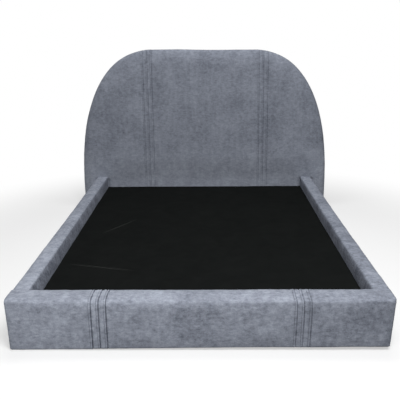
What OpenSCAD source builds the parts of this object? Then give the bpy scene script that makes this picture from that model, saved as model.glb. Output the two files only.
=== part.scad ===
// Upholstered bed with an arched headboard and a padded base box.
// Millimetres. X runs across the bed, +Y towards the headboard, +Z up, floor at zero.

/* [Mattress] */
// Width of the mattress that the bed holds
mattress_w = 1520; // [1370:10:1930]
// Length of the mattress
mattress_l = 2030; // [1880:10:2130]
// Free space between the mattress and the bed on each side
mattress_gap = 10; // [5:1:20]
// Depth of the well between the rails, from their top down to the deck
well_d = 77; // [60:1:90]

/* [Base box] */
// Height of the rails above the floor
base_top = 245; // [230:1:300]
// Height of the gap under the base, which the glides fill
glide_h = 12; // [10:1:30]
// Thickness of a padded side rail
rail_t = 85; // [75:1:110]
// Thickness of the padded foot rail
foot_t = 125; // [100:1:160]
// Radius of a side rail's outer top edge
rail_outer_r = 11; // [8:1:24]
// Radius of a side rail's inner top edge
rail_inner_r = 9; // [6:1:14]
// Radius of the soft edge between the foot rail's top and front
foot_outer_r = 28; // [18:1:36]
// Radius of the edges between the foot rail's top and ends
foot_end_r = 13; // [9:1:28]
// Radius of the foot rail's upright corners
foot_corner_r = 11; // [9:1:28]
// Radius of the edges under the base
low_r = 7; // [5:1:10]
// How far the foot rail's front, top and ends swell in the middle
crown = 3; // [1:0.5:5]

/* [Headboard] */
// Height of the flat top above the floor
head_top = 1226; // [1000:1:1400]
// How far the headboard reaches past the base on each side
head_overhang = 111; // [60:1:160]
// Thickness of the headboard, with its padding
head_t = 105; // [100:1:130]
// Height at which the headboard is widest
arch_foot_z = 150; // [120:1:240]
// Distance across from the widest place to the middle of the arch's curve
arch_run = 611; // [540:1:640]
// How far the whole arch would rise past the flat top that cuts it
arch_over = 2; // [1:0.5:12]
// Power of the arch's curve, where 2 is an ellipse
arch_power = 2.4; // [2:0.1:3]
// Width of the soft roll round the front edge
roll_w = 100; // [70:1:105]
// How far the roll falls back from the front face
roll_d = 30; // [20:1:32]

/* [Sewn lines] */
// Distance between neighbouring sewn lines
seam_pitch = 34; // [26:1:36]
// Width of the channel that a sewn line pulls in
seam_w = 8; // [5:1:10]
// Depth of the channel
seam_d = 3; // [1:0.5:3]
// Headboard, left: from the widest place in to the middle line
head_seam_left = 541; // [520:1:600]
// Headboard, right: from the widest place in to the middle line
head_seam_right = 505; // [490:1:600]
// Foot rail, left: from the end in to the middle line
foot_seam_left = 413; // [330:1:500]
// Foot rail, right: from the end in to the middle line
foot_seam_right = 393; // [330:1:500]

/* [Upholstery] */
// Thickness of the velour with its sewn-in wadding
cover_t = 4; // [4:0.5:5]
// Width of the hem turned under the rails
hem_w = 22; // [16:1:24]
// Width of the hem turned over the headboard's back
head_hem_w = 40; // [25:1:55]
// Foam on the faces of a side rail
rail_foam = 10; // [6:1:12]
// Foam on top of a side rail
rail_foam_top = 12; // [9:1:20]
// Foam on the foot rail's front and ends
foot_foam = 20; // [14:1:24]
// Least foam at the edge of the headboard
edge_foam = 5; // [2:1:8]
// Foam on top of the foot rail
foot_foam_top = 20; // [16:1:26]
// Foam on the foot rail's inner face
foot_foam_in = 8; // [6:1:12]
// Thickness of the black non-woven cloth
cloth_t = 1; // [0.6:0.1:1.5]
// Distance from the headboard's edge to the back cloth
cloth_border = 14; // [8:1:20]

/* [Boards and timber] */
// Thickness of the rails' plywood boards
board_t = 12; // [9:1:15]
// Height of the battens between the boards
batten_h = 28; // [20:1:28]
// Width of the uprights between the boards
upright_w = 40; // [30:1:60]
// Uprights in a side rail
rail_uprights = 8; // [4:1:10]
// Uprights in the foot rail
foot_uprights = 8; // [4:1:9]
// Thickness of the headboard's front panel
head_panel_t = 9; // [6:1:12]
// Thickness of the headboard's back board
back_board_t = 5; // [3:1:6]
// Depth of the headboard's timber frame
frame_d = 45; // [36:1:47]
// Width of the curved rim
rim_w = 60; // [45:1:80]
// Width of a headboard post
post_w = 90; // [70:1:110]
// Height of the headboard's bottom and middle rails
cross_h = 66; // [45:1:90]
// Height of the middle rail's lower edge above the floor
middle_z = 560; // [400:10:700]

/* [Deck] */
// Thickness of the deck panels
deck_t = 9; // [6:1:12]
// Gap between the two deck panels
deck_joint = 2; // [1:1:6]
// Width of a slat
slat_w = 70; // [50:1:90]
// Thickness of a slat
slat_t = 18; // [15:1:21]
// Number of slats
slat_n = 9; // [7:2:11]
// Distance from the well's ends to the first and last slat's middle
slat_end = 60; // [50:1:90]
// Width of the ledger that carries the slats
ledger_w = 30; // [26:1:40]
// Height of the ledger
ledger_h = 45; // [38:1:46]
// Width of the centre beam
beam_w = 45; // [36:1:60]
// Height of the centre beam
beam_h = 70; // [50:1:72]

/* [Legs and glides] */
// Number of legs under the centre beam
leg_n = 3; // [2:1:3]
// Distance between neighbouring legs
leg_pitch = 700; // [500:10:780]
// Outer diameter of a leg's tube
leg_d = 40; // [36:1:44]
// Wall of the leg's tube
leg_wall = 2; // [1.5:0.5:3]
// Thickness of a leg's top plate
plate_t = 4; // [3:1:5]
// Length of a leg's top plate
plate_l = 96; // [86:1:120]
// Diameter of a levelling foot's threaded stud
stud_d = 10; // [8:1:12]
// Diameter of the levelling foot's pad
pad_d = 38; // [30:1:46]
// Height of the pad
pad_h = 8; // [6:1:9]
// How far the levelling foot screws out
foot_out = 12; // [6:1:14]
// How far the levelling foot screws in
foot_in = 4; // [2:1:5]
// Space above the pad when the foot is screwed right in
pad_clear = 2; // [1:0.5:3]
// Height of the bush in the leg
bush_h = 18; // [14:1:20]
// Diameter of a glide under the base
glide_d = 50; // [40:1:56]
// Diameter of the boss on a glide, which reaches up between the hems
boss_d = 30; // [20:1:30]
// Diameter of a glide under the headboard
head_glide_d = 40; // [30:1:44]
// Distance between the glides along a side rail
rail_glide_pitch = 850; // [600:10:880]
// Distance between the glides across the bed
cross_glide_pitch = 600; // [400:10:620]

/* [Fixings] */
// Length of a corner bracket's leg
bracket_l = 60; // [58:1:75]
// Height of a corner bracket
bracket_h = 50; // [30:1:50]
// Thickness of a corner bracket
bracket_t = 3; // [2:0.5:4]
// Distance from the corner to the first bolt
bolt_first = 22; // [20:1:24]
// Distance between the two bolts
bolt_pitch = 24; // [21:1:26]
// Diameter of the bolts
bolt_d = 8; // [6:1:8]
// Width of a bolt's head, across its corners
bolt_head_w = 14.5; // [12:0.5:16]
// Height of a bolt's head
bolt_head_h = 5; // [4:0.5:6]
// Diameter of a tee nut's barrel
tee_d = 10; // [10:0.5:12]
// Diameter of a tee nut's flange
tee_flange_d = 20; // [16:1:20]
// Thickness of a tee nut's flange
tee_flange_t = 1.5; // [1:0.5:2]
// Length of a tee nut's barrel
tee_l = 8; // [6:1:8]
// Thread of a bolt that shows past its tee nut
bolt_end = 3; // [1:1:5]
// Diameter of the wood screws
screw_d = 5; // [4:0.5:6]
// Diameter of a wood screw's head
screw_head_d = 10; // [8:0.5:11]
// Height of a wood screw's countersunk head
screw_head_h = 2.5; // [2:0.5:3]
// How deep a ledger screw goes into the rail's board
ledger_screw_grip = 11; // [7:1:11]
// How deep a slat screw goes into the ledger or the beam
slat_screw_grip = 17; // [12:1:25]
// How deep a leg screw goes into the beam
leg_screw_grip = 26; // [16:1:30]

/* [Clearances] */
// Gap between a cover and the foam or board behind it
skin_gap = 0.3; // [0.2:0.1:0.5]
// Gap from the slats and panels to the well's sides
slat_gap = 3; // [2:1:5]
// Gap from the deck cloth to the well's sides
cloth_gap = 2; // [1:0.5:4]
// Gap from the ledgers and the beam to the well's ends
end_gap = 12; // [6:1:20]
// Gap between an upright and the battens that it is glued between
glue_gap = 0.1; // [0.1:0.05:0.3]
// Gap round a bolt's shank
bolt_gap = 0.3; // [0.2:0.1:0.6]
// Gap round a screw, a bush and a running thread
fit_gap = 0.05; // [0.03:0.01:0.09]

/* [Hidden] */
$fn = 40;
corner_steps = 5;
crown_steps = 6;
arch_steps = 14;
velour = [0.45, 0.46, 0.51];
foam_colour = [0.93, 0.87, 0.66];
ply_colour = [0.80, 0.66, 0.46];
pine_colour = [0.86, 0.72, 0.50];
hardboard_colour = [0.45, 0.31, 0.20];
cloth_colour = [0.11, 0.11, 0.11];
plastic_colour = [0.08, 0.08, 0.08];
zinc_colour = [0.72, 0.73, 0.74];
black_steel_colour = [0.13, 0.13, 0.14];

// The well and the base box
inner_w = mattress_w + 2 * mattress_gap;
inner_l = mattress_l + 2 * mattress_gap;
base_w = inner_w + 2 * rail_t;
total_l = foot_t + inner_l + head_t;
foot_y = -total_l / 2;
well_y0 = foot_y + foot_t;
well_y1 = well_y0 + inner_l;
back_y = total_l / 2;
mid_y = (well_y0 + well_y1) / 2;
rail_y1 = well_y1 - skin_gap;

// Depths from a padded face to the board behind it
skin = cover_t + skin_gap;
rail_board_in = skin + rail_foam;
foot_board_in = skin + foot_foam_in;
head_foam = head_t - 2 * skin - cloth_t - head_panel_t - frame_d - back_board_t;
head_board_in = skin + head_foam;
roll_back = min(roll_d, head_board_in - edge_foam);

// Heights
core_z0 = glide_h + skin;
rail_core_z1 = base_top - skin - rail_foam_top;
foot_core_z1 = base_top - skin - foot_foam_top;
deck_z = base_top - well_d;
panel_z = deck_z - cloth_t - deck_t;
slat_z = panel_z - slat_t;
ledger_z = slat_z - ledger_h;
beam_z = slat_z - beam_h;
bracket_z = ledger_z - bracket_t - bracket_h / 2;
bush_z = pad_h + foot_in + pad_clear;
bush_lip = 2;
tube_z = bush_z + bush_lip;
stud_top = tube_z + bush_h + foot_out;

// Headboard outline
head_half = base_w / 2 + head_overhang;
arch_x = head_half - arch_run;
arch_rise = head_top + arch_over - arch_foot_z;
panel_y = well_y1 + head_board_in;
frame_y = panel_y + head_panel_t;
back_board_y = frame_y + frame_d;
hem_y = back_board_y + back_board_t + skin_gap;
post_x = inner_w / 2 - bolt_first - bolt_pitch / 2;
rim_end = arch_steps - 1;

// Places that repeat
slat_pitch = (inner_l - 2 * slat_end) / (slat_n - 1);
bolt_places = [bolt_first, bolt_first + bolt_pitch];
leg_ys = [for (i = [0:leg_n - 1]) mid_y + (i - (leg_n - 1) / 2) * leg_pitch];
foot_seams = concat([for (k = [-1:1]) foot_seam_left - base_w / 2 + k * seam_pitch],
                    [for (k = [-1:1]) base_w / 2 - foot_seam_right + k * seam_pitch]);

// Points of a quarter circle that starts at angle a
function arc(x, y, r, a) =
    [for (i = [0:corner_steps]) let (b = a + 90 * i / corner_steps) [x + r * cos(b), y + r * sin(b)]];

// Points between two corners of a face that swells by c in its middle, outwards along normal n
function swell(a, b, n, c) =
    [for (i = [1:crown_steps - 1]) let (s = i / crown_steps)
        a + (b - a) * s + n * c * (1 - pow(2 * s - 1, 2))];

// Outline with four round corners, r from low left anticlockwise, and three faces that swell:
// the left by c[0], the right by c[1] and the top by c[2]
function padded_outline(x0, y0, x1, y1, r, c) =
    let (l = x0 + c[0], h = x1 - c[1], t = y1 - c[2])
    concat(arc(l + r[0], y0 + r[0], r[0], 180), arc(h - r[1], y0 + r[1], r[1], 270),
           swell([h, y0 + r[1]], [h, t - r[2]], [1, 0], c[1]), arc(h - r[2], t - r[2], r[2], 0),
           swell([h - r[2], t], [l + r[3], t], [0, 1], c[2]), arc(l + r[3], t - r[3], r[3], 90),
           swell([l, t - r[3]], [l, y0 + r[0]], [-1, 0], c[0]));

function shrunk(r, d) = [for (v = r) max(v - d, 0.5)];
function backwards(v) = [for (i = [len(v) - 1:-1:0]) v[i]];

// Section of a side rail from its outer face at 0 to its inner face, drawn in by d
function rail_section(d) =
    padded_outline(d, glide_h + d, rail_t - d, base_top - d,
                   shrunk([low_r, low_r, rail_inner_r, rail_outer_r], d), [0, 0, crown / 2]);

// The foot rail's section, its front view and its plan, drawn in by d
function foot_section(d) =
    padded_outline(d, glide_h + d, foot_t - d, base_top - d,
                   shrunk([low_r, low_r, rail_inner_r, foot_outer_r], d), [crown, 0, crown / 2]);
function foot_front(d) =
    padded_outline(d - base_w / 2, glide_h + d, base_w / 2 - d, base_top - d,
                   shrunk([low_r, low_r, foot_end_r, foot_end_r], d), [crown, crown, 0]);
function foot_plan(d) =
    padded_outline(d - base_w / 2, foot_y + d, base_w / 2 - d, well_y0 - d,
                   shrunk([foot_corner_r, foot_corner_r, low_r, low_r], d), [0, 0, 0]);

// The headboard's outline, drawn in by d: the curve's point i, and its height over a place x
function curve_x(i, d) = arch_x + (arch_run - d) * pow(cos(90 * i / arch_steps), 2 / arch_power);
function curve_z(x, d) =
    let (u = max(0, abs(x) - arch_x) / (arch_run - d))
    min(head_top - d, arch_foot_z + (arch_rise - d) * pow(max(0, 1 - pow(u, arch_power)), 1 / arch_power));
function curve_point(i, d) = [curve_x(i, d), curve_z(curve_x(i, d), d)];
function curve_points(d, last) = [for (i = [0:last]) curve_point(i, d)];
function flipped(v) = [for (p = v) [-p[0], p[1]]];
function head_outline(d) =
    concat([[d - head_half, glide_h + d], [head_half - d, glide_h + d]],
           curve_points(d, arch_steps), backwards(flipped(curve_points(d, arch_steps))));

// Columns across the headboard, from -X to +X: the curve's own places, where they lie clear of
// the sewn lines, and each sewn line's two edges and middle
function seam_columns(x) = [for (k = [1, 0, -1], s = [1, 0, -1]) x + k * seam_pitch + s * seam_w / 2];
function arch_columns(d, from, to) =
    [for (i = [0:arch_steps]) let (x = curve_x(i, head_hem_w)) if (x > from && x < to) curve_x(i, d)];
function outer_columns(d, seam) = arch_columns(d, head_half - seam + seam_pitch + seam_w, head_half);
function inner_columns(d, seam) = arch_columns(d, 0, head_half - seam - seam_pitch - seam_w);
function cover_half(d, seam) =
    concat(outer_columns(d, seam), seam_columns(head_half - seam), inner_columns(d, seam));
function cover_columns(d) =
    concat([for (x = cover_half(d, head_seam_left)) -x], [0], backwards(cover_half(d, head_seam_right)));
function foam_columns(d) =
    concat([for (i = [0:arch_steps]) -curve_x(i, d)], [0], [for (i = [arch_steps:-1:0]) curve_x(i, d)]);

// Rows down a column, closer together over the roll at the top
row_steps = [0, 0.04, 0.15, 0.35, 0.65, 1];
rows = len(row_steps) + 2;
function row_z(j, top, d) =
    let (low = glide_h + d, squeeze = min(1, (top - low) / (2 * roll_w)))
    let (last = top - roll_w * squeeze)
    j < len(row_steps) ? top - row_steps[j] * roll_w * squeeze : j == rows - 1 ? low : (last + low) / 2;

// Distance from a point of the headboard's face to its edge, and how far the roll falls back there
function edge_distance(x, z, d) =
    let (u = max(0, abs(x) - arch_x), v = max(0, z - arch_foot_z))
    let (across = u / (arch_run - d), up = v / (arch_rise - d))
    let (share = pow(pow(across, arch_power) + pow(up, arch_power), 1 / arch_power))
    max(0, min(head_top - d - z, share > 0 ? norm([u, v]) * (1 - share) / share : head_half));
function roll_fall(x, z, d) =
    let (s = 1 - min(1, edge_distance(x, z, d) / (roll_w - d)))
    d + (roll_back - d) * (1 - sqrt(max(0, 1 - s * s)));

// A grid of points over the headboard's outline drawn in by d, with y given by its depth
function face_xz(cols, d) =
    [for (x = cols) let (top = curve_z(x, d)) [for (j = [0:rows - 1]) [x, row_z(j, top, d)]]];
function is_seam(i, seam) =
    let (k = i - len(outer_columns(0, seam))) k >= 0 && k % 3 == 1 && k < 9;
function seam_here(i, n) = is_seam(i, head_seam_left) || is_seam(n - 1 - i, head_seam_right) ? seam_d : 0;
function grid_faces(n, first, turn) =
    [for (i = [0:n - 2], j = [0:rows - 2])
        let (a = first + i * rows + j, b = a + rows)
        for (t = turn ? [[a, b + 1, b], [a, a + 1, b + 1]] : [[a, b, b + 1], [a, b + 1, a + 1]]) t];
function ring_places(n) =
    concat([for (i = [0:n - 1]) [i, rows - 1]], [for (j = [rows - 2:-1:0]) [n - 1, j]],
           [for (i = [n - 2:-1:0]) [i, 0]], [for (j = [1:rows - 2]) [0, j]]);
function ring_points(xz, n, y) = [for (q = ring_places(n)) let (p = xz[q[0]][q[1]]) [p[0], y, p[1]]];
function ring_in_grid(n, first) = [for (q = ring_places(n)) first + q[0] * rows + q[1]];
function count_up(first, n) = [for (i = [0:n - 1]) first + i];
function band_faces(a, b) =
    [for (i = [0:len(a) - 1]) let (k = (i + 1) % len(a))
        for (t = [[a[i], a[k], b[k]], [a[i], b[k], b[i]]]) t];

// Extrusions along X and Y of a section drawn in the plane across them
module along_x(x0, x1) {
    translate([x0, 0, 0]) rotate([90, 0, 90]) linear_extrude(x1 - x0) children();
}
module along_y(y0, y1) {
    translate([0, y1, 0]) rotate([90, 0, 0]) linear_extrude(y1 - y0) children();
}
module box(low, high) {
    translate(low) cube(high - low);
}

// Copies children from the foot's left corner of the well to the corners at the ends given
module at_corners(ends) {
    for (side = [0, 1], end = ends)
        translate([0, mid_y, 0]) mirror([side, 0, 0]) mirror([0, end, 0])
            translate([-inner_w / 2, -inner_l / 2, 0]) children();
}
// Turns a fixing's +Z into the side rail, and into the foot rail or headboard
module into_side() {
    for (y = bolt_places) translate([0, y, bracket_z]) rotate([0, -90, 0]) children();
}
module into_end() {
    for (x = bolt_places) translate([x, 0, bracket_z]) rotate([90, 0, 0]) children();
}

// Fixings, each along +Z from the face that its head bears on
module bolt(l) {
    translate([0, 0, -bracket_t - bolt_head_h]) cylinder(h = bolt_head_h, d = bolt_head_w, $fn = 6);
    translate([0, 0, -bracket_t]) cylinder(h = l + bracket_t, d = bolt_d);
}
module bolt_hole(l) {
    translate([0, 0, -bracket_t - 1]) cylinder(h = l + bracket_t + 1, d = bolt_d + 2 * bolt_gap);
}
module tee_nut(depth) {
    difference() {
        union() {
            translate([0, 0, depth - tee_l]) cylinder(h = tee_l, d = tee_d);
            translate([0, 0, depth]) cylinder(h = tee_flange_t, d = tee_flange_d);
        }
        translate([0, 0, depth - tee_l - 1]) cylinder(h = tee_l + tee_flange_t + 2, d = bolt_d + 2 * fit_gap);
    }
}
module tee_hole(depth) {
    translate([0, 0, depth - tee_l - fit_gap]) cylinder(h = tee_l + 1, d = tee_d + 2 * fit_gap);
    translate([0, 0, depth]) cylinder(h = tee_flange_t + 1, d = tee_flange_d + 2 * fit_gap);
}
module screw(l, gap = 0) {
    cylinder(h = l + gap, d = screw_d + 2 * gap);
    cylinder(h = screw_head_h, d1 = screw_head_d + 2 * gap, d2 = screw_d + 2 * gap);
    if (gap > 0) translate([0, 0, -1]) cylinder(h = 1, d = screw_head_d + 2 * gap);
}

// Places of the screws
module ledger_screws_at(side) {
    for (i = [0:2:slat_n - 2])
        translate([side * (inner_w / 2 - ledger_w), well_y0 + slat_end + (i + 0.5) * slat_pitch,
                   ledger_z + ledger_h / 2])
            rotate([0, side * 90, 0]) children();
}
module slat_screws_at(xs) {
    for (i = [0:slat_n - 1], x = xs)
        translate([x, well_y0 + slat_end + i * slat_pitch, panel_z]) rotate([180, 0, 0]) children();
}
module leg_screws_at() {
    for (y = leg_ys, s = [-1, 1])
        translate([0, y + s * (plate_l + leg_d) / 4, beam_z - plate_t]) children();
}
ledger_screw_l = ledger_w + rail_board_in + ledger_screw_grip;
slat_screw_l = slat_t + slat_screw_grip;
leg_screw_l = plate_t + leg_screw_grip;
side_screw_x = inner_w / 2 - ledger_w / 2;

// Side rails, drawn on the left and mirrored for the right
module sided(side) {
    mirror([side > 0 ? 1 : 0, 0, 0]) children();
}
module rail_solid(d, past = 0) {
    translate([-base_w / 2, 0, 0]) along_y(well_y0 - past, rail_y1 + past) polygon(rail_section(d));
}
module rail_core(z0, x0, x1) {
    box([x0 - base_w / 2, well_y0, z0], [x1 - base_w / 2, rail_y1, rail_core_z1]);
}
module rail_holes() {
    translate([0, mid_y, 0]) for (end = [0, 1]) mirror([0, end, 0])
        translate([-inner_w / 2, -inner_l / 2, 0]) into_side() children();
}
module rail_cover(side) {
    color(velour) sided(side) difference() {
        rail_solid(0);
        rail_solid(cover_t, 1);
        box([hem_w - base_w / 2, well_y0 - 1, glide_h - 1],
            [-inner_w / 2 - hem_w, rail_y1 + 1, glide_h + cover_t + 1]);
        rail_holes() bolt_hole(rail_board_in);
        ledger_screws_at(-1) screw(ledger_screw_l, fit_gap);
    }
}
module rail_foam_wrap(side) {
    color(foam_colour) sided(side) difference() {
        rail_solid(skin);
        box([rail_board_in - base_w / 2, well_y0 - 1, 0],
            [-inner_w / 2 - rail_board_in, rail_y1 + 1, rail_core_z1]);
        rail_holes() bolt_hole(rail_board_in);
        ledger_screws_at(-1) screw(ledger_screw_l, fit_gap);
    }
}
module rail_outer_board(side) {
    color(ply_colour) sided(side) rail_core(core_z0, rail_board_in, rail_board_in + board_t);
}
module rail_inner_board(side) {
    color(ply_colour) sided(side) difference() {
        rail_core(core_z0, rail_t - rail_board_in - board_t, rail_t - rail_board_in);
        rail_holes() {
            bolt_hole(rail_board_in + board_t + 1);
            tee_hole(rail_board_in + board_t);
        }
        ledger_screws_at(-1) screw(ledger_screw_l, fit_gap);
    }
}
module rail_battens(side) {
    x0 = rail_board_in + board_t - base_w / 2;
    x1 = -inner_w / 2 - rail_board_in - board_t;
    first = bracket_l + upright_w;
    pitch = (rail_y1 - well_y0 - 2 * first) / (rail_uprights - 1);
    color(pine_colour) sided(side) {
        box([x0, well_y0, core_z0], [x1, rail_y1, core_z0 + batten_h]);
        box([x0, well_y0, rail_core_z1 - batten_h], [x1, rail_y1, rail_core_z1]);
        for (i = [0:rail_uprights - 1]) {
            y = well_y0 + first + i * pitch;
            box([x0, y - upright_w / 2, core_z0 + batten_h + glue_gap],
                [x1, y + upright_w / 2, rail_core_z1 - batten_h - glue_gap]);
        }
    }
}
module rail_ledger(side) {
    color(pine_colour) sided(side) difference() {
        box([-inner_w / 2, well_y0 + end_gap, ledger_z], [ledger_w - inner_w / 2, well_y1 - end_gap, slat_z]);
        ledger_screws_at(-1) screw(ledger_screw_l, fit_gap);
        slat_screws_at([-side_screw_x]) screw(slat_screw_l, fit_gap);
    }
}

// Foot rail
module foot_solid(d) {
    intersection() {
        translate([0, foot_y, 0]) along_x(d - base_w / 2, base_w / 2 - d) polygon(foot_section(d));
        along_y(foot_y + d, well_y0 - d) polygon(foot_front(d));
        linear_extrude(base_top) polygon(foot_plan(d));
    }
}
// A channel round the whole rail, wider at its mouth than at its bottom
module foot_channel(x) {
    for (step = [[seam_w, seam_d * 0.4], [seam_w * 0.4, seam_d]])
        translate([0, foot_y, 0]) along_x(x - step[0] / 2, x + step[0] / 2) difference() {
            polygon(foot_section(-1));
            polygon(foot_section(step[1]));
        }
}
module foot_holes() {
    at_corners([0]) into_end() children();
}
foot_core_x = base_w / 2 - skin - foot_foam;
foot_core_y0 = foot_y + skin + foot_foam;
foot_core_y1 = well_y0 - foot_board_in;
module foot_rail_cover() {
    color(velour) difference() {
        foot_solid(0);
        foot_solid(cover_t);
        box([hem_w - base_w / 2, foot_y + hem_w, glide_h - 1],
            [base_w / 2 - hem_w, well_y0 - hem_w, glide_h + cover_t + 1]);
        for (x = foot_seams) foot_channel(x);
        foot_holes() bolt_hole(foot_board_in);
    }
}
module foot_rail_foam() {
    color(foam_colour) difference() {
        foot_solid(skin);
        box([-foot_core_x, foot_core_y0, 0], [foot_core_x, foot_core_y1, foot_core_z1]);
        foot_holes() bolt_hole(foot_board_in);
    }
}
module foot_rail_front_board() {
    color(ply_colour)
        box([-foot_core_x, foot_core_y0, core_z0], [foot_core_x, foot_core_y0 + board_t, foot_core_z1]);
}
module foot_rail_back_board() {
    color(ply_colour) difference() {
        box([-foot_core_x, foot_core_y1 - board_t, core_z0], [foot_core_x, foot_core_y1, foot_core_z1]);
        foot_holes() {
            bolt_hole(foot_board_in + board_t + 1);
            tee_hole(foot_board_in + board_t);
        }
    }
}
module foot_rail_battens() {
    y0 = foot_core_y0 + board_t;
    y1 = foot_core_y1 - board_t;
    pitch = (2 * foot_core_x - upright_w) / (foot_uprights - 1);
    color(pine_colour) {
        box([-foot_core_x, y0, core_z0], [foot_core_x, y1, core_z0 + batten_h]);
        box([-foot_core_x, y0, foot_core_z1 - batten_h], [foot_core_x, y1, foot_core_z1]);
        for (i = [0:foot_uprights - 1]) {
            x = -foot_core_x + i * pitch;
            box([x, y0, core_z0 + batten_h + glue_gap],
                [x + upright_w, y1, foot_core_z1 - batten_h - glue_gap]);
        }
    }
}

// Headboard
module head_slab(d, y0, y1) {
    along_y(y0, y1) polygon(head_outline(d));
}
module head_holes() {
    at_corners([1]) into_end() children();
}
module headboard_cover() {
    outer = cover_columns(0);
    inner = cover_columns(cover_t);
    n = len(outer);
    front = face_xz(outer, 0);
    lining = face_xz(inner, cover_t);
    hem = face_xz(cover_columns(head_hem_w), head_hem_w);
    front_points = [for (i = [0:n - 1]) for (p = front[i])
        [p[0], well_y1 + roll_fall(p[0], p[1], 0) + seam_here(i, n), p[1]]];
    lining_points = [for (c = lining) for (p = c) [p[0], well_y1 + roll_fall(p[0], p[1], cover_t), p[1]]];
    ring = len(ring_places(n));
    rings = concat(ring_points(front, n, hem_y + cover_t), ring_points(hem, n, hem_y + cover_t),
                   ring_points(hem, n, hem_y), ring_points(lining, n, hem_y));
    start = 2 * n * rows;
    turns = concat([ring_in_grid(n, 0)], [for (k = [0:3]) count_up(start + k * ring, ring)],
                   [ring_in_grid(n, n * rows)]);
    color(velour) difference() {
        polyhedron(concat(front_points, lining_points, rings),
                   concat(grid_faces(n, 0, false), grid_faces(n, n * rows, true),
                          [for (k = [0:4]) for (t = band_faces(turns[k], turns[k + 1])) t]));
        head_holes() bolt_hole(head_board_in);
    }
}
module headboard_foam() {
    cols = foam_columns(skin);
    n = len(cols);
    face = face_xz(cols, skin);
    front = [for (c = face) for (p = c) [p[0], well_y1 + roll_fall(p[0], p[1], skin), p[1]]];
    back = [for (c = face) for (p = c) [p[0], panel_y, p[1]]];
    color(foam_colour) difference() {
        polyhedron(concat(front, back),
                   concat(grid_faces(n, 0, false), grid_faces(n, n * rows, true),
                          band_faces(ring_in_grid(n, 0), ring_in_grid(n, n * rows))));
        head_holes() bolt_hole(head_board_in);
    }
}
module headboard_front_panel() {
    color(ply_colour) difference() {
        head_slab(skin, panel_y, frame_y);
        head_holes() bolt_hole(head_board_in + head_panel_t + 1);
    }
}
module headboard_back_board() {
    color(hardboard_colour) head_slab(skin, back_board_y, back_board_y + back_board_t);
}
module headboard_rim(side) {
    outer = curve_points(skin, rim_end);
    inner = curve_points(skin + rim_w, rim_end);
    foot = [[head_half - skin - rim_w, core_z0], [head_half - skin, core_z0]];
    color(ply_colour) sided(-side) along_y(frame_y, back_board_y)
        polygon(concat(foot, outer, backwards(inner)));
}
module headboard_top_rail() {
    ends = [curve_point(rim_end, skin), curve_point(arch_steps, skin)];
    low = [curve_point(rim_end, skin + rim_w), curve_point(arch_steps, skin + rim_w)];
    color(pine_colour) along_y(frame_y, back_board_y)
        polygon(concat(ends, backwards(flipped(ends)), flipped(low), backwards(low)));
}
module headboard_cross_rail(z) {
    x = post_x - post_w / 2;
    color(pine_colour) box([-x, frame_y, z], [x, back_board_y, z + cross_h]);
}
module headboard_post(side) {
    under = backwards(curve_points(skin + rim_w, rim_end));
    ends = [post_x - post_w / 2, post_x + post_w / 2];
    tops = [for (x = ends) [x, lookup(x, under)]];
    depth = head_board_in + head_panel_t + frame_d - tee_flange_t - fit_gap;
    color(pine_colour) difference() {
        sided(-side) along_y(frame_y, back_board_y)
            polygon([[ends[0], core_z0], [ends[1], core_z0], tops[1], tops[0]]);
        head_holes() {
            bolt_hole(depth);
            tee_hole(depth);
        }
    }
}
module headboard_back_cloth() {
    color(cloth_colour) head_slab(cloth_border, back_y - cloth_t, back_y);
}
module headboard_glides() {
    color(plastic_colour) for (i = [-1:1])
        translate([i * cross_glide_pitch, frame_y + frame_d / 2, 0]) glide(head_glide_d);
}

// Deck
module slat(i) {
    y = well_y0 + slat_end + i * slat_pitch;
    x = inner_w / 2 - slat_gap;
    color(pine_colour) difference() {
        box([-x, y - slat_w / 2, slat_z], [x, y + slat_w / 2, panel_z]);
        for (sx = [-side_screw_x, 0, side_screw_x])
            translate([sx, y, panel_z]) rotate([180, 0, 0]) screw(slat_screw_l, fit_gap);
    }
}
module deck_panel(end) {
    x = inner_w / 2 - slat_gap;
    ys = end == 0 ? [well_y0 + slat_gap, mid_y - deck_joint / 2]
                  : [mid_y + deck_joint / 2, well_y1 - slat_gap];
    color(ply_colour) box([-x, ys[0], panel_z], [x, ys[1], panel_z + deck_t]);
}
module deck_cloth() {
    x = inner_w / 2 - cloth_gap;
    color(cloth_colour) box([-x, well_y0 + cloth_gap, deck_z - cloth_t], [x, well_y1 - cloth_gap, deck_z]);
}
module centre_beam() {
    color(pine_colour) difference() {
        box([-beam_w / 2, well_y0 + end_gap, beam_z], [beam_w / 2, well_y1 - end_gap, slat_z]);
        slat_screws_at([0]) screw(slat_screw_l, fit_gap);
        leg_screws_at() screw(leg_screw_l, fit_gap);
    }
}

// Legs, bushes and levelling feet under the beam
module leg(i) {
    plate_z = beam_z - plate_t;
    color(black_steel_colour) difference() {
        union() {
            box([-beam_w / 2, leg_ys[i] - plate_l / 2, plate_z],
                [beam_w / 2, leg_ys[i] + plate_l / 2, beam_z]);
            translate([0, leg_ys[i], tube_z]) cylinder(h = plate_z - tube_z, d = leg_d);
        }
        translate([0, leg_ys[i], tube_z - 1]) cylinder(h = plate_z - tube_z + 1, d = leg_d - 2 * leg_wall);
        leg_screws_at() screw(leg_screw_l, fit_gap);
    }
}
module leg_bushes() {
    color(plastic_colour) for (y = leg_ys) translate([0, y, bush_z]) difference() {
        union() {
            cylinder(h = bush_lip, d = leg_d);
            cylinder(h = bush_lip + bush_h, d = leg_d - 2 * leg_wall - 2 * fit_gap);
        }
        translate([0, 0, -1]) cylinder(h = bush_lip + bush_h + 2, d = stud_d + 2 * fit_gap);
    }
}
module levelling_foot(i) {
    chamfer = 2;
    color(zinc_colour) translate([0, leg_ys[i], 0]) {
        cylinder(h = pad_h - chamfer, d = pad_d);
        translate([0, 0, pad_h - chamfer]) cylinder(h = chamfer, d1 = pad_d, d2 = pad_d - 4 * chamfer);
        cylinder(h = stud_top, d = stud_d);
    }
}
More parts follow.
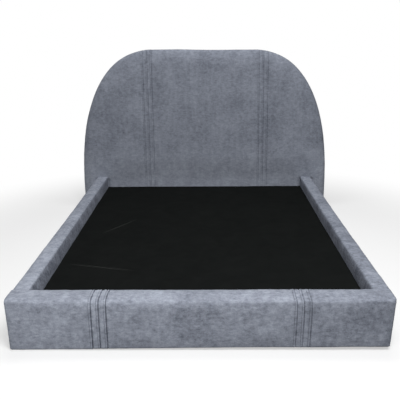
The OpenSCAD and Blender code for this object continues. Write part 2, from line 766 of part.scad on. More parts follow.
module glide(d) {
    chamfer = 2;
    cylinder(h = chamfer, d1 = d - 2 * chamfer, d2 = d);
    translate([0, 0, chamfer]) cylinder(h = glide_h - chamfer, d = d);
}
module base_glides() {
    rail_x = (inner_w + rail_t) / 2;
    places = concat([for (s = [-1, 1], i = [-1:1]) [s * rail_x, mid_y + i * rail_glide_pitch]],
                    [for (i = [-1:1]) [i * cross_glide_pitch, foot_y + foot_t / 2]]);
    color(plastic_colour) for (p = places) translate([p[0], p[1], 0]) {
        glide(glide_d);
        cylinder(h = core_z0, d = boss_d);
    }
}

// Fixings
module corner_brackets() {
    color(zinc_colour) at_corners([0, 1]) difference() {
        box([0, 0, bracket_z - bracket_h / 2], [bracket_l, bracket_l, bracket_z + bracket_h / 2]);
        box([bracket_t, bracket_t, 0], [bracket_l + 1, bracket_l + 1, base_top]);
        into_side() bolt_hole(1);
        into_end() bolt_hole(1);
    }
}
module bracket_bolts() {
    color(zinc_colour) {
        at_corners([0, 1]) into_side() bolt(rail_board_in + board_t + tee_flange_t + bolt_end);
        at_corners([0]) into_end() bolt(foot_board_in + board_t + tee_flange_t + bolt_end);
    }
}
module headboard_bolts() {
    color(zinc_colour) head_holes() bolt(head_board_in + head_panel_t + frame_d - fit_gap);
}
module tee_nuts() {
    color(zinc_colour) {
        at_corners([0, 1]) into_side() tee_nut(rail_board_in + board_t);
        at_corners([0]) into_end() tee_nut(foot_board_in + board_t);
        head_holes() tee_nut(head_board_in + head_panel_t + frame_d - tee_flange_t - fit_gap);
    }
}
module ledger_screws() {
    color(zinc_colour) for (side = [-1, 1]) ledger_screws_at(side) screw(ledger_screw_l);
}
module slat_screws() {
    color(zinc_colour) slat_screws_at([-side_screw_x, 0, side_screw_x]) screw(slat_screw_l);
}
module leg_screws() {
    color(zinc_colour) leg_screws_at() screw(leg_screw_l);
}

sides = [["left", -1], ["right", 1]];

headboard_cover();
headboard_foam();
headboard_front_panel();
headboard_back_board();
headboard_top_rail();
headboard_cross_rail(middle_z);  // headboard_middle_rail
headboard_cross_rail(core_z0);  // headboard_bottom_rail
headboard_back_cloth();
headboard_glides();
foot_rail_cover();
foot_rail_foam();
foot_rail_front_board();
foot_rail_back_board();
foot_rail_battens();
base_glides();
centre_beam();
deck_panel(0);  // deck_panel_foot
deck_panel(1);  // deck_panel_head
deck_cloth();
leg_bushes();
corner_brackets();
bracket_bolts();
headboard_bolts();
tee_nuts();
ledger_screws();
slat_screws();
leg_screws();
for (s = sides) {
    headboard_rim(s[1]);
    headboard_post(s[1]);
    rail_cover(s[1]);
    rail_foam_wrap(s[1]);
    rail_outer_board(s[1]);
    rail_inner_board(s[1]);
    rail_battens(s[1]);
    rail_ledger(s[1]);
}
for (i = [1:slat_n]) slat(i - 1);
for (i = [1:leg_n]) leg(i - 1);
for (i = [1:leg_n]) levelling_foot(i - 1);
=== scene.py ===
"""Upholstered bed with an arched headboard: padded covers, cloths, timber, fixings and a plain studio."""

import logging
import math
from dataclasses import dataclass, field
from enum import Enum
from typing import Any, Callable, Sequence

import bmesh
import bpy
import numpy as np
from mathutils import Matrix, Vector
from mathutils.bvhtree import BVHTree


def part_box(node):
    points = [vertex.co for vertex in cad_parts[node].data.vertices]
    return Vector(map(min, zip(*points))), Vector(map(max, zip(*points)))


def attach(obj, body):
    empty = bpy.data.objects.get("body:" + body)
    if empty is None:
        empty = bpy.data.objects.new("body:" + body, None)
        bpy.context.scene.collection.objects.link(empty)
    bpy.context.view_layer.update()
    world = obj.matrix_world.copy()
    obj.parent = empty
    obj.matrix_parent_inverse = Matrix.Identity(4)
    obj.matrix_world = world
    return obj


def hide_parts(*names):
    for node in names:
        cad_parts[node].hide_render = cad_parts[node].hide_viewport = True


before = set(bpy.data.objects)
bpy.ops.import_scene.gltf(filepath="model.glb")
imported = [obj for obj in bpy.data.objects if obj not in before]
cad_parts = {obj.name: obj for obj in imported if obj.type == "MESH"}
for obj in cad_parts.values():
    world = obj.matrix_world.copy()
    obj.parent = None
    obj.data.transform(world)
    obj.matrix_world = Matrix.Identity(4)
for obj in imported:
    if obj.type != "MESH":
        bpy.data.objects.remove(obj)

Colour = tuple[float, float, float]
Span = tuple[float, float]
FromPoints = Callable[[np.ndarray], np.ndarray]
Object = bpy.types.Object
Material = bpy.types.Material

log = logging.getLogger("bed")
MM = 0.001
MERGED = 0.001 * MM
BODY = "bed"
THREAD_RADIUS = 0.45 * MM
STITCH_SHARE = 0.74
ABOVE_COVER = 0.4 * MM
FOAM_UNEVEN = 0.25 * MM
NEARING_STEPS = 5


class Wire:
    """A value that varies over a surface. Python's operators on it add Math nodes."""

    def __init__(self, shader: "Shader", socket: bpy.types.NodeSocket) -> None:
        """Keeps the shader and the socket that the value leaves by."""
        self.shader = shader
        self.socket = socket

    def math(self, operation: str, *values: "Wire | float", clamp: bool = False) -> "Wire":
        """Adds one Math node.

        Args:
            operation: the Math node's operation.
            values: the node's inputs, in order.
            clamp: whether the result is held between 0 and 1.

        Returns:
            The node's result.
        """
        inputs = dict(enumerate(values))
        return self.shader.node("ShaderNodeMath", inputs, operation=operation, use_clamp=clamp)

    def __add__(self, other: "Wire | float") -> "Wire":
        """The sum."""
        return self.math("ADD", self, other)

    def __sub__(self, other: "Wire | float") -> "Wire":
        """The difference."""
        return self.math("SUBTRACT", self, other)

    def __rsub__(self, other: float) -> "Wire":
        """The difference from a number."""
        return self.math("SUBTRACT", other, self)

    def __mul__(self, other: "Wire | float") -> "Wire":
        """The product."""
        return self.math("MULTIPLY", self, other)

    def __pow__(self, other: float) -> "Wire":
        """The power."""
        return self.math("POWER", self, other)

    __radd__ = __add__
    __rmul__ = __mul__

    def held(self) -> "Wire":
        """The value, held between 0 and 1."""
        return self.math("ADD", self, 0.0, clamp=True)

    def step(self, low: float, high: float) -> "Wire":
        """A smooth step.

        Args:
            low: where the step is 0.
            high: where the step is 1.

        Returns:
            0 below low, 1 above high and a smooth rise between.
        """
        values = {"Value": self, "From Min": low, "From Max": high}
        return self.shader.node("ShaderNodeMapRange", values, interpolation_type="SMOOTHSTEP")


class Shader:
    """A material with one principled surface, and the nodes that feed it."""

    def __init__(self, name: str) -> None:
        """Starts an empty material of that name.

        Args:
            name: the material's name.
        """
        self.material = bpy.data.materials.new(name)
        self.material.use_nodes = True
        self.tree = self.material.node_tree
        self.tree.nodes.clear()
        self.surface = self.tree.nodes.new("ShaderNodeBsdfPrincipled")
        self.output = self.tree.nodes.new("ShaderNodeOutputMaterial")
        self.tree.links.new(self.surface.outputs["BSDF"], self.output.inputs["Surface"])

    def feed(self, socket: bpy.types.NodeSocket, value: Any) -> None:
        """Links a wire to a socket, or sets the socket to a constant.

        Args:
            socket: what gets the value.
            value: a wire, a number, a vector or a colour.
        """
        if isinstance(value, Wire):
            self.tree.links.new(value.socket, socket)
        elif isinstance(value, tuple) and len(value) == 3 and socket.type == "RGBA":
            socket.default_value = (*value, 1.0)
        else:
            socket.default_value = value

    def node(self, kind: str, values: dict | None = None, output: int | str = 0, **settings: Any) -> Wire:
        """Adds any node.

        Args:
            kind: the node's type.
            values: what its sockets get, by name or number: wires or constants.
            output: the output that is wanted.
            settings: the node's own settings, set before its sockets.

        Returns:
            The wanted output.
        """
        made = self.tree.nodes.new(kind)
        for key, value in settings.items():
            setattr(made, key, value)
        for key, value in (values or {}).items():
            self.feed(made.inputs[key], value)
        return Wire(self, made.outputs[output])

    def place(self, stretch: Colour = (1.0, 1.0, 1.0)) -> Wire:
        """The object's own coordinates, each multiplied by its share of stretch.

        Args:
            stretch: what X, Y and Z are multiplied by.

        Returns:
            The object's own coordinates, stretched.
        """
        here = self.node("ShaderNodeTexCoord", output="Object")
        if stretch == (1.0, 1.0, 1.0):
            return here
        return self.node("ShaderNodeMapping", {"Vector": here, "Scale": stretch})

    def axis(self, index: int) -> Wire:
        """One of the object's own coordinates: 0 for X, 1 for Y and 2 for Z."""
        return self.node("ShaderNodeSeparateXYZ", {0: self.place()}, output=index)

    def noise(self, scale: float, detail: float = 2.0, rough: float = 0.5, bent: float = 0.0,
              stretch: Colour = (1.0, 1.0, 1.0)) -> Wire:
        """Cloudy noise about zero.

        Args:
            scale: waves per metre.
            detail: how many finer layers it has.
            rough: how strong the finer layers are.
            bent: how much it is distorted.
            stretch: how the scale differs along X, Y and Z.

        Returns:
            A value from about -0.5 to 0.5.
        """
        values = {"Vector": self.place(stretch), "Scale": scale, "Detail": detail,
                  "Roughness": rough, "Distortion": bent}
        return self.node("ShaderNodeTexNoise", values) - 0.5

    def cells(self, scale: float, stretch: Colour = (1.0, 1.0, 1.0)) -> Wire:
        """Distance to the nearest point of a cell pattern with that many cells per metre."""
        return self.node("ShaderNodeTexVoronoi", {"Vector": self.place(stretch), "Scale": scale})

    def attribute(self, name: str) -> Wire:
        """A number that the mesh carries at its points."""
        return self.node("ShaderNodeAttribute", output="Fac", attribute_name=name)

    def mix(self, share: Wire, first: "Wire | Colour", second: "Wire | Colour") -> Wire:
        """Blends two colours: the first at share 0 and the second at share 1."""
        return self.node("ShaderNodeMix", {0: share, 6: first, 7: second}, output=2, data_type="RGBA")

    def finish(self, colour: "Wire | Colour", rough: "Wire | float", height: Wire | None = None,
               relief: float = 1.0, **constants: Any) -> Material:
        """Feeds the surface.

        Args:
            colour: the base colour.
            rough: the roughness.
            height: a height for the bump, in millimetres.
            relief: the strength of the bump.
            constants: the surface's other sockets, with spaces as underscores.

        Returns:
            The finished material.
        """
        self.feed(self.surface.inputs["Base Color"], colour)
        self.feed(self.surface.inputs["Roughness"], rough)
        if height is not None:
            values = {"Height": height, "Strength": relief, "Distance": MM}
            self.feed(self.surface.inputs["Normal"], self.node("ShaderNodeBump", values))
        for key, value in constants.items():
            self.feed(self.surface.inputs[key.replace("_", " ")], value)
        return self.material


class Grain(Enum):
    """The way that a board's grain runs, or its face looks."""

    ACROSS = 0
    ALONG = 1
    UPRIGHT = 2

    def stretch(self, share: float) -> Colour:
        """Multipliers that draw a pattern out along this way, to share of its frequency.

        Args:
            share: what the pattern's frequency is multiplied by, along this way.

        Returns:
            Multipliers for X, Y and Z.
        """
        values = [1.0, 1.0, 1.0]
        values[self.value] = share
        return values[0], values[1], values[2]


@dataclass(frozen=True)
class Velour:
    """Brushed velour, whose short pile lies in pale and deep clouds of every size."""

    name: str = "brushed_velour"
    deep: Colour = (0.098, 0.109, 0.138)
    pale: Colour = (0.390, 0.420, 0.492)

    def material(self) -> Material:
        """Makes the material.

        Returns:
            The finished material.
        """
        shader = Shader(self.name)
        clouds = shader.noise(5.0, detail=3.0, rough=0.7, bent=0.25)
        mottle = shader.noise(34.0, detail=3.0, rough=0.85)
        nap = shader.noise(330.0, detail=2.0, rough=0.7)
        flecks = shader.noise(95.0, detail=2.0, rough=0.7, stretch=(0.45, 0.8, 1.0))
        streaks = shader.noise(46.0, detail=2.0, stretch=(1.0, 1.0, 0.05))
        rumpled = shader.attribute("rumpled")
        spread = 0.92 * clouds + 0.95 * mottle + 0.45 * nap + 0.75 * flecks + 0.24 * streaks
        # The pile attribute adds painted light and shade per region; the sewn attribute takes off painted
        # shade along the folds and seams.
        tone = 0.5 + spread * rumpled + shader.attribute("pile") - 0.5 * shader.attribute("sewn")
        colour = shader.mix(tone.held(), self.deep, self.pale)
        height = (0.9 * nap + 1.4 * mottle + 0.9 * flecks) * rumpled
        return shader.finish(colour, (0.88 + 0.16 * mottle).held(), height, 0.8, Specular_IOR_Level=0.04,
                             Sheen_Weight=0.06, Sheen_Roughness=0.45, Sheen_Tint=(0.80, 0.83, 0.95))


@dataclass(frozen=True)
class NonWoven:
    """Matt black non-woven cloth, pressed with small dimples."""

    name: str = "black_non_woven"
    black: Colour = (0.0076, 0.0084, 0.0083)
    dusty: Colour = (0.036, 0.038, 0.036)

    def material(self) -> Material:
        """Makes the material.

        Returns:
            The finished material.
        """
        shader = Shader(self.name)
        fibres = shader.noise(700.0, detail=3.0, rough=0.7, stretch=(1.0, 0.35, 1.0))
        dimples = shader.cells(420.0).step(0.15, 0.45)
        worn = shader.noise(9.0, detail=4.0, rough=0.6, bent=0.8)
        share = (0.06 + 0.18 * worn + 0.16 * fibres + 0.7 * shader.attribute("fold")).held()
        colour = shader.mix(share, self.black, self.dusty)
        height = 0.12 * dimples + 0.10 * fibres
        return shader.finish(colour, (0.9 + 0.1 * fibres).held(), height, 0.6, Specular_IOR_Level=0.0)


@dataclass(frozen=True)
class Timber:
    """Planed pine with its growth rings drawn out along the board."""

    grain: Grain
    pale: Colour = (0.62, 0.43, 0.235)
    dark: Colour = (0.40, 0.225, 0.095)

    def material(self) -> Material:
        """Makes the material.

        Returns:
            The finished material.
        """
        shader = Shader(f"pine_{self.grain.name.lower()}")
        rings = shader.noise(55.0, detail=4.0, rough=0.62, bent=1.4, stretch=self.grain.stretch(0.045))
        pores = shader.noise(900.0, detail=2.0, stretch=self.grain.stretch(0.03))
        stain = shader.noise(6.0, detail=2.0)
        tone = (0.42 + 1.5 * rings + 0.35 * pores + 0.5 * stain).held()
        return shader.finish(shader.mix(tone, self.pale, self.dark), (0.58 + 0.3 * pores).held(),
                             0.15 * pores + 0.12 * rings, 0.5, Specular_IOR_Level=0.35)


@dataclass(frozen=True)
class Plywood:
    """Birch plywood: rotary-cut veneer on its faces and thin plies on its edges."""

    face: Grain
    ply: float = 1.5 * MM
    pale: Colour = (0.60, 0.45, 0.27)
    dark: Colour = (0.43, 0.285, 0.145)

    def material(self) -> Material:
        """Makes the material.

        Returns:
            The finished material.
        """
        shader = Shader(f"plywood_facing_{self.face.name.lower()}")
        run = Grain.ACROSS if self.face is not Grain.ACROSS else Grain.ALONG
        veneer = shader.noise(24.0, detail=4.0, rough=0.6, bent=1.8, stretch=run.stretch(0.09))
        pores = shader.noise(800.0, detail=2.0, stretch=run.stretch(0.05))
        wave = shader.axis(self.face.value).math("SINE", shader.axis(self.face.value) * (math.pi / self.ply))
        normal = shader.node("ShaderNodeNewGeometry", output="Normal")
        facing = shader.node("ShaderNodeSeparateXYZ", {0: normal}, output=self.face.value)
        edge = 1.0 - facing.math("ABSOLUTE", facing).step(0.5, 0.8)
        tone = (0.38 + 1.2 * veneer + 0.3 * pores + 0.38 * edge * wave).held()
        return shader.finish(shader.mix(tone, self.pale, self.dark), (0.6 + 0.2 * pores).held(),
                             0.12 * pores + 0.06 * veneer, 0.5, Specular_IOR_Level=0.3)


@dataclass(frozen=True)
class Speckled:
    """A surface of two colours in fine clouds and grains, such as board, foam, moulding or plating."""

    name: str
    first: Colour
    second: Colour
    clouds: float
    grains: float
    rough: float
    relief: float
    metal: float = 0.0
    shine: float = 0.4

    def material(self) -> Material:
        """Makes the material.

        Returns:
            The finished material.
        """
        shader = Shader(self.name)
        clouds = shader.noise(self.clouds, detail=3.0, rough=0.6)
        grains = shader.noise(self.grains, detail=3.0, rough=0.65)
        pits = shader.cells(self.grains)
        tone = (0.5 + 0.9 * clouds + 0.8 * grains).held()
        return shader.finish(shader.mix(tone, self.first, self.second),
                             (self.rough + 0.25 * grains + 0.12 * clouds).held(),
                             0.3 * grains + 0.3 * pits, self.relief,
                             Metallic=self.metal, Specular_IOR_Level=self.shine)


VELOUR = Velour()
NON_WOVEN = NonWoven()
HARDBOARD = Speckled("hardboard", (0.125, 0.062, 0.030), (0.215, 0.118, 0.060), 14.0, 700.0, 0.62, 0.5)
FOAM = Speckled("upholstery_foam", (0.70, 0.62, 0.36), (0.82, 0.75, 0.50), 12.0, 620.0, 0.95, 0.9, shine=0.1)
PLASTIC = Speckled("black_moulding", (0.010, 0.010, 0.011), (0.022, 0.022, 0.023), 30.0, 1500.0, 0.42, 0.35)
ZINC = Speckled("bright_zinc", (0.52, 0.53, 0.55), (0.72, 0.73, 0.74), 120.0, 900.0, 0.32, 0.3, metal=1.0)
POWDER = Speckled("black_powder_coat", (0.012, 0.012, 0.013), (0.026, 0.026, 0.028), 60.0, 1300.0, 0.5, 0.6)
THREAD = Speckled("grey_thread", (0.045, 0.050, 0.066), (0.085, 0.092, 0.115), 200.0, 2500.0, 0.7, 0.8)


def activate(piece: Object) -> None:
    """Selects one object alone and makes it the active one.

    Args:
        piece: the object.
    """
    bpy.ops.object.select_all(action="DESELECT")
    piece.select_set(True)
    bpy.context.view_layer.objects.active = piece


def points_of(piece: Object) -> np.ndarray:
    """The places of a mesh's points, one row each.

    Args:
        piece: the mesh object.

    Returns:
        Their places.
    """
    places = np.zeros(len(piece.data.vertices) * 3, np.float32)
    piece.data.vertices.foreach_get("co", places)
    return places.reshape(-1, 3).astype(float)


def normals_of(piece: Object) -> np.ndarray:
    """The normals of a mesh's points, one row each.

    Args:
        piece: the mesh object.

    Returns:
        Their normals.
    """
    normals = np.zeros(len(piece.data.vertices) * 3, np.float32)
    piece.data.vertex_normals.foreach_get("vector", normals)
    return normals.reshape(-1, 3).astype(float)


def move_points(piece: Object, places: np.ndarray) -> None:
    """Gives a mesh's points new places."""
    piece.data.vertices.foreach_set("co", places.astype(np.float32).ravel())
    piece.data.update()


def carry(piece: Object, name: str, values: np.ndarray) -> None:
    """Stores one number for each point of a mesh, for its material to read."""
    held = piece.data.attributes.get(name) or piece.data.attributes.new(name, "FLOAT", "POINT")
    held.data.foreach_set("value", values.astype(np.float32))


def modify(piece: Object, kind: str, **settings: Any) -> None:
    """Adds a modifier with those settings and applies it.

    Args:
        piece: the mesh object.
        kind: the modifier's type.
        settings: the modifier's own settings.
    """
    activate(piece)
    made = piece.modifiers.new(kind.lower(), kind)
    for key, value in settings.items():
        setattr(made, key, value)
    bpy.ops.object.modifier_apply(modifier=made.name)


def mesh_piece(name: str, places: Sequence, faces: Sequence) -> Object:
    """Makes a mesh object from points and faces, in the scene.

    Args:
        name: the object's name.
        places: the points, one row each.
        faces: the points of each face, by number.

    Returns:
        The new object.
    """
    mesh = bpy.data.meshes.new(name)
    mesh.from_pydata([tuple(p) for p in places], [], [tuple(f) for f in faces])
    mesh.validate()
    piece = bpy.data.objects.new(name, mesh)
    bpy.context.scene.collection.objects.link(piece)
    return piece


def edit_mesh(piece: Object, change: Callable[[bmesh.types.BMesh], None]) -> None:
    """Runs a change on a mesh and puts the result back.

    Args:
        piece: the mesh object.
        change: what is done to its mesh.
    """
    shape = bmesh.new()
    shape.from_mesh(piece.data)
    change(shape)
    shape.to_mesh(piece.data)
    shape.free()
    piece.data.update()


def face_outwards(piece: Object) -> None:
    """Merges doubles and turns every face of a closed mesh outwards.

    Args:
        piece: the mesh object.
    """
    def change(shape: bmesh.types.BMesh) -> None:
        """Merges and turns."""
        bmesh.ops.remove_doubles(shape, verts=shape.verts, dist=MERGED)
        bmesh.ops.recalc_face_normals(shape, faces=shape.faces)

    edit_mesh(piece, change)


def cut_away(piece: Object, gone: Callable[[Vector, Vector], bool]) -> None:
    """Deletes the faces whose middle and normal the test picks.

    Args:
        piece: the mesh object.
        gone: says of a face's middle and normal whether it goes.
    """
    def change(shape: bmesh.types.BMesh) -> None:
        """Deletes them."""
        faces = [f for f in shape.faces if gone(f.calc_center_median(), f.normal)]
        bmesh.ops.delete(shape, geom=faces, context="FACES")

    edit_mesh(piece, change)


def dress(piece: Object, material: Material, angle: float = math.radians(40.0)) -> None:
    """Gives a new piece its material, smooth shading and its body.

    Args:
        piece: the new piece.
        material: its finish.
        angle: the angle past which an edge stays sharp.
    """
    piece.data.materials.clear()
    piece.data.materials.append(material)
    activate(piece)
    bpy.ops.object.shade_smooth_by_angle(angle=angle)
    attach(piece, BODY)
    log.info("%s: %d faces", piece.name, len(piece.data.polygons))


def ripple(places: np.ndarray, wave: float, seed: int, count: int = 7) -> np.ndarray:
    """Soft random waves in space.

    Args:
        places: the points, one row each.
        wave: the usual wavelength, in metres.
        seed: which waves.
        count: how many waves are added up.

    Returns:
        A height for each point, mostly between -1 and 1.
    """
    random = np.random.default_rng(seed)
    total = np.zeros(len(places))
    for _ in range(count):
        way = random.normal(size=3)
        way /= np.linalg.norm(way)
        turns = 2 * math.pi / (wave * random.uniform(0.7, 1.5))
        total += np.sin(places @ way * turns + random.uniform(0, 2 * math.pi))
    return total / math.sqrt(count)


def bump(value: np.ndarray, width: float) -> np.ndarray:
    """A bell of height 1 at zero that has nearly gone at width."""
    return np.exp(-((value / width) ** 2) * 3.0)


def ramp(values: np.ndarray, start: float, end: float) -> np.ndarray:
    """A smooth rise from 0 at start to 1 at end."""
    share = np.clip((values - start) / (end - start), 0, 1)
    return share * share * (3 - 2 * share)


def wander(places: np.ndarray, waves: Sequence[Span], seed: int) -> np.ndarray:
    """Unevenness of a cover: waves of these heights and lengths, from this seed on."""
    return sum(height * ripple(places, length, seed + k) for k, (height, length) in enumerate(waves))


def swell(piece: Object, held: np.ndarray, pressure: float, cap: float, frames: int = 16) -> None:
    """Fills a cover with a short cloth simulation and applies the result.

    Args:
        piece: the cover.
        held: which points stay where they are.
        pressure: the pressure inside.
        cap: how far a point may move, in metres.
        frames: how many frames the simulation runs.
    """
    rest = points_of(piece)
    group = piece.vertex_groups.new(name="held")
    group.add(np.flatnonzero(held).tolist(), 1.0, "REPLACE")
    activate(piece)
    cloth = piece.modifiers.new("cloth", "CLOTH")
    settings = cloth.settings
    settings.quality = 3
    settings.mass = 0.3
    settings.tension_stiffness = 20.0
    settings.compression_stiffness = 20.0
    settings.shear_stiffness = 8.0
    settings.bending_stiffness = 2.0
    settings.use_pressure = True
    settings.uniform_pressure_force = pressure
    settings.vertex_group_mass = group.name
    settings.effector_weights.gravity = 0.0
    cloth.collision_settings.use_collision = False
    cloth.point_cache.frame_end = frames
    scene = bpy.context.scene
    for step in range(1, frames + 1):
        scene.frame_set(step)
    bpy.ops.object.modifier_apply(modifier=cloth.name)
    scene.frame_set(1)
    moved = points_of(piece) - rest
    move_points(piece, rest)
    normals = normals_of(piece)
    out = np.sum(moved * normals, axis=1, keepdims=True)
    aside = moved - out * normals
    far = np.maximum(np.linalg.norm(aside, axis=1, keepdims=True), 1e-9)
    dent, slide = 0.3 * MM, 0.5 * cap
    grown = cap * np.tanh(np.maximum(out, 0) / cap) + dent * np.tanh(np.minimum(out, 0) / dent)
    move_points(piece, rest + normals * grown + aside * (slide * np.tanh(far / slide) / far))
    piece.vertex_groups.clear()
    log.info("%s swelled by %.1f mm at most", piece.name, 1000 * float(out.max()))


@dataclass(frozen=True)
class Pleats:
    """A group of sewn pin tucks: low folds, each stitched along its left and lying over to its right.

    They run from the cover's back edge over its top and down its front, and sway a little on the way.
    """

    lines: tuple[float, ...]
    sway: tuple[float, ...] = (0.0, 0.0)
    width: float = 10.0 * MM
    raised: float = 1.5 * MM
    gap: float = 3.0 * MM
    slit: float = 2.8 * MM
    dip: float = 0.9 * MM
    shade: float = 1.0
    beyond: float = 12.0 * MM
    reach: float = 140.0 * MM
    pucker: float = 26.0 * MM
    cut_steps: tuple[float, ...] = (-1.6, -1.3, -1.12, -1.0, -0.86, -0.6, -0.3, -0.14, -0.04, 0.05, 0.14,
                                    0.28, 0.5, 0.9)

    def cuts(self) -> list[float]:
        """Places across the cover of the cuts that the folds' shape needs.

        Returns:
            Their places, in metres.
        """
        return [line + step * self.width for line in self.lines for step in self.cut_steps]

    def swayed(self, share: np.ndarray) -> np.ndarray:
        """How far the lines stand aside at each share of the way from the back edge to the bottom.

        Args:
            share: each point's share of the way.

        Returns:
            Metres towards +X.
        """
        return np.interp(share, np.linspace(0, 1, len(self.sway)), self.sway)

    def profile(self, x: np.ndarray) -> tuple[np.ndarray, np.ndarray]:
        """The folds' shape across the cover.

        Args:
            x: each point's place across the cover.

        Returns:
            How far the cloth stands proud, and how much painted shade darkens the pile along each fold and
            seam.
        """
        height, sewn = np.zeros(len(x)), np.zeros(len(x))
        for line in self.lines:
            past_fold, past_seam = x - line, x - line + self.width
            share = np.clip(-past_fold / self.width, 0, 1)
            height += self.raised * np.sin(math.pi * share ** 0.6) ** 0.8
            height -= self.dip * bump(past_seam, 2.2 * MM) + self.gap * bump(past_fold - 0.6 * MM, self.slit)
            # Painted shade in the fold's crease and along its seam.
            sewn += bump(past_fold - 0.5 * MM, 1.2 * self.slit) + 0.35 * bump(past_seam, 2.0 * MM)
        return height, self.shade * sewn

    def near(self, x: np.ndarray) -> np.ndarray:
        """1 among the tucks, fading to 0 on both sides.

        Args:
            x: each point's place across the cover.

        Returns:
            A share for each point.
        """
        middle = sum(self.lines) / len(self.lines)
        half = (max(self.lines) - min(self.lines)) / 2 + self.beyond
        return np.clip(1 - (np.abs(x - middle) - half) / self.reach, 0, 1)

    def beside(self, x: np.ndarray) -> np.ndarray:
        """1 on each fold, fading to 0 a finger's width away, where the cloth puckers."""
        return sum(bump(x - line + self.width / 2, self.pucker) for line in self.lines)


@dataclass(frozen=True)
class Sewing:
    """What is sewn into one cover, and the way that the sewn lines take over it."""

    groups: tuple[Pleats, ...]
    front: float
    back: float
    top: float
    low: float
    clear: float = 12 * MM
    cut_margin: float = 30 * MM
    held_half: float = 6 * MM
    ripple_wave: float = 15 * MM
    first_seed: int = 40
    row_points: int = 90

    def way(self, places: np.ndarray) -> np.ndarray:
        """Each point's share of the way from the back edge over the top and down the front.

        Args:
            places: the points, one row each.

        Returns:
            A share for each point, from 0 to 1.
        """
        deep, tall = self.back - self.front, self.top - self.low
        return ((self.back - places[:, 1]) + (self.top - places[:, 2])) / (deep + tall)

    def cut(self, piece: Object) -> None:
        """Cuts the cover along the folds, so that it has the columns that their shape needs.

        Args:
            piece: the cover.
        """
        def change(shape: bmesh.types.BMesh) -> None:
            """Cuts along each fold.

            Args:
                shape: the cover's mesh.
            """
            for spot in sorted(cut for group in self.groups for cut in group.cuts()):
                near = [f for f in shape.faces if any(abs(v.co.x - spot) < self.cut_margin for v in f.verts)]
                around = {e for f in near for e in f.edges} | {v for f in near for v in f.verts}
                bmesh.ops.bisect_plane(shape, geom=[*near, *around], dist=MERGED,
                                       plane_co=(spot, 0.0, 0.0), plane_no=(1.0, 0.0, 0.0))

        edit_mesh(piece, change)

    def held(self, places: np.ndarray) -> np.ndarray:
        """Which points the seams hold."""
        lines = [line for group in self.groups for line in group.lines]
        return np.any([np.abs(places[:, 0] - line) < self.held_half for line in lines], axis=0)

    def sew(self, piece: Object, strength: FromPoints, gather: FromPoints) -> None:
        """Sews the folds into a cover.

        Args:
            piece: the cover, with its mesh at rest.
            strength: how high the folds stand at each point, from 0 to 1.
            gather: how much the cloth puckers beside the folds at each point, in metres.
        """
        self.cut(piece)
        places, normals = points_of(piece), normals_of(piece)
        rise, seam_shade, aside = np.zeros(len(places)), np.zeros(len(places)), np.zeros(len(places))
        share, pucker, way = strength(places), gather(places), self.way(places)
        for number, group in enumerate(self.groups):
            height, sewn = group.profile(places[:, 0])
            rise += height * share
            waves = ripple(places, self.ripple_wave, self.first_seed + number)
            rise += pucker * waves * group.beside(places[:, 0])
            seam_shade += sewn * (0.45 + 0.55 * share)
            aside += group.swayed(way) * group.near(places[:, 0])
        places += normals * rise[:, None]
        places[:, 0] += aside
        move_points(piece, places)
        # Painted shade along each fold's crease and seam, carried as sewn for the velour to darken.
        carry(piece, "sewn", np.clip(seam_shade, 0, 1.4))

    def paths(self, start: float) -> list[np.ndarray]:
        """The ways that the rows of stitches take, a little outside the cover.

        Args:
            start: how far down the back the rows begin.

        Returns:
            Points along each row.
        """
        corners = np.array([(self.back, self.top - start), (self.back, self.top), (self.front, self.top),
                            (self.front, self.low)])
        outwards = self.clear * np.array([(1, 0), (1, 1), (-1, 1), (-1, 0)])
        on_cover, outside = (np.vstack([np.linspace(a, b, self.row_points, endpoint=False)
                                        for a, b in zip(turns[:-1], turns[1:])])
                             for turns in (corners, corners + outwards))
        rows = []
        for group in self.groups:
            for line in group.lines:
                points = np.column_stack([np.full(len(on_cover), line - group.width), on_cover])
                points[:, 0] += group.swayed(self.way(points))
                points[:, 1:] = outside
                rows.append(points)
        return rows


def thread_curve(points: np.ndarray) -> Object:
    """Makes a curve through points, for stitches to follow.

    Args:
        points: the curve's points, one row each.

    Returns:
        The curve's object.
    """
    data = bpy.data.curves.new("thread_path", "CURVE")
    data.dimensions = "3D"
    spline = data.splines.new("POLY")
    spline.points.add(len(points) - 1)
    spline.points.foreach_set("co", np.column_stack([points, np.ones(len(points))]).ravel())
    path = bpy.data.objects.new("thread_path", data)
    bpy.context.scene.collection.objects.link(path)
    return path


def one_stitch(length: float, radius: float) -> Object:
    """Models one stitch along X: a short thread whose ends turn in.

    Args:
        length: its length.
        radius: the thread's radius.

    Returns:
        The stitch, with a few dozen faces.
    """
    bpy.ops.object.select_all(action="DESELECT")
    bpy.ops.mesh.primitive_cylinder_add(vertices=6, radius=radius, depth=length,
                                        rotation=(0, math.pi / 2, 0), location=(length / 2, 0, 0))
    piece = bpy.context.object
    bpy.ops.object.transform_apply(location=True, rotation=True, scale=True)
    bpy.ops.object.mode_set(mode="EDIT")
    bpy.ops.mesh.select_mode(type="FACE")
    bpy.ops.mesh.select_all(action="DESELECT")
    bpy.ops.object.mode_set(mode="OBJECT")
    for face in piece.data.polygons:
        face.select = abs(face.normal.x) > 0.9
    bpy.ops.object.mode_set(mode="EDIT")
    bpy.ops.mesh.inset(thickness=0.4 * radius, depth=0.5 * radius)
    bpy.ops.object.mode_set(mode="OBJECT")
    return piece


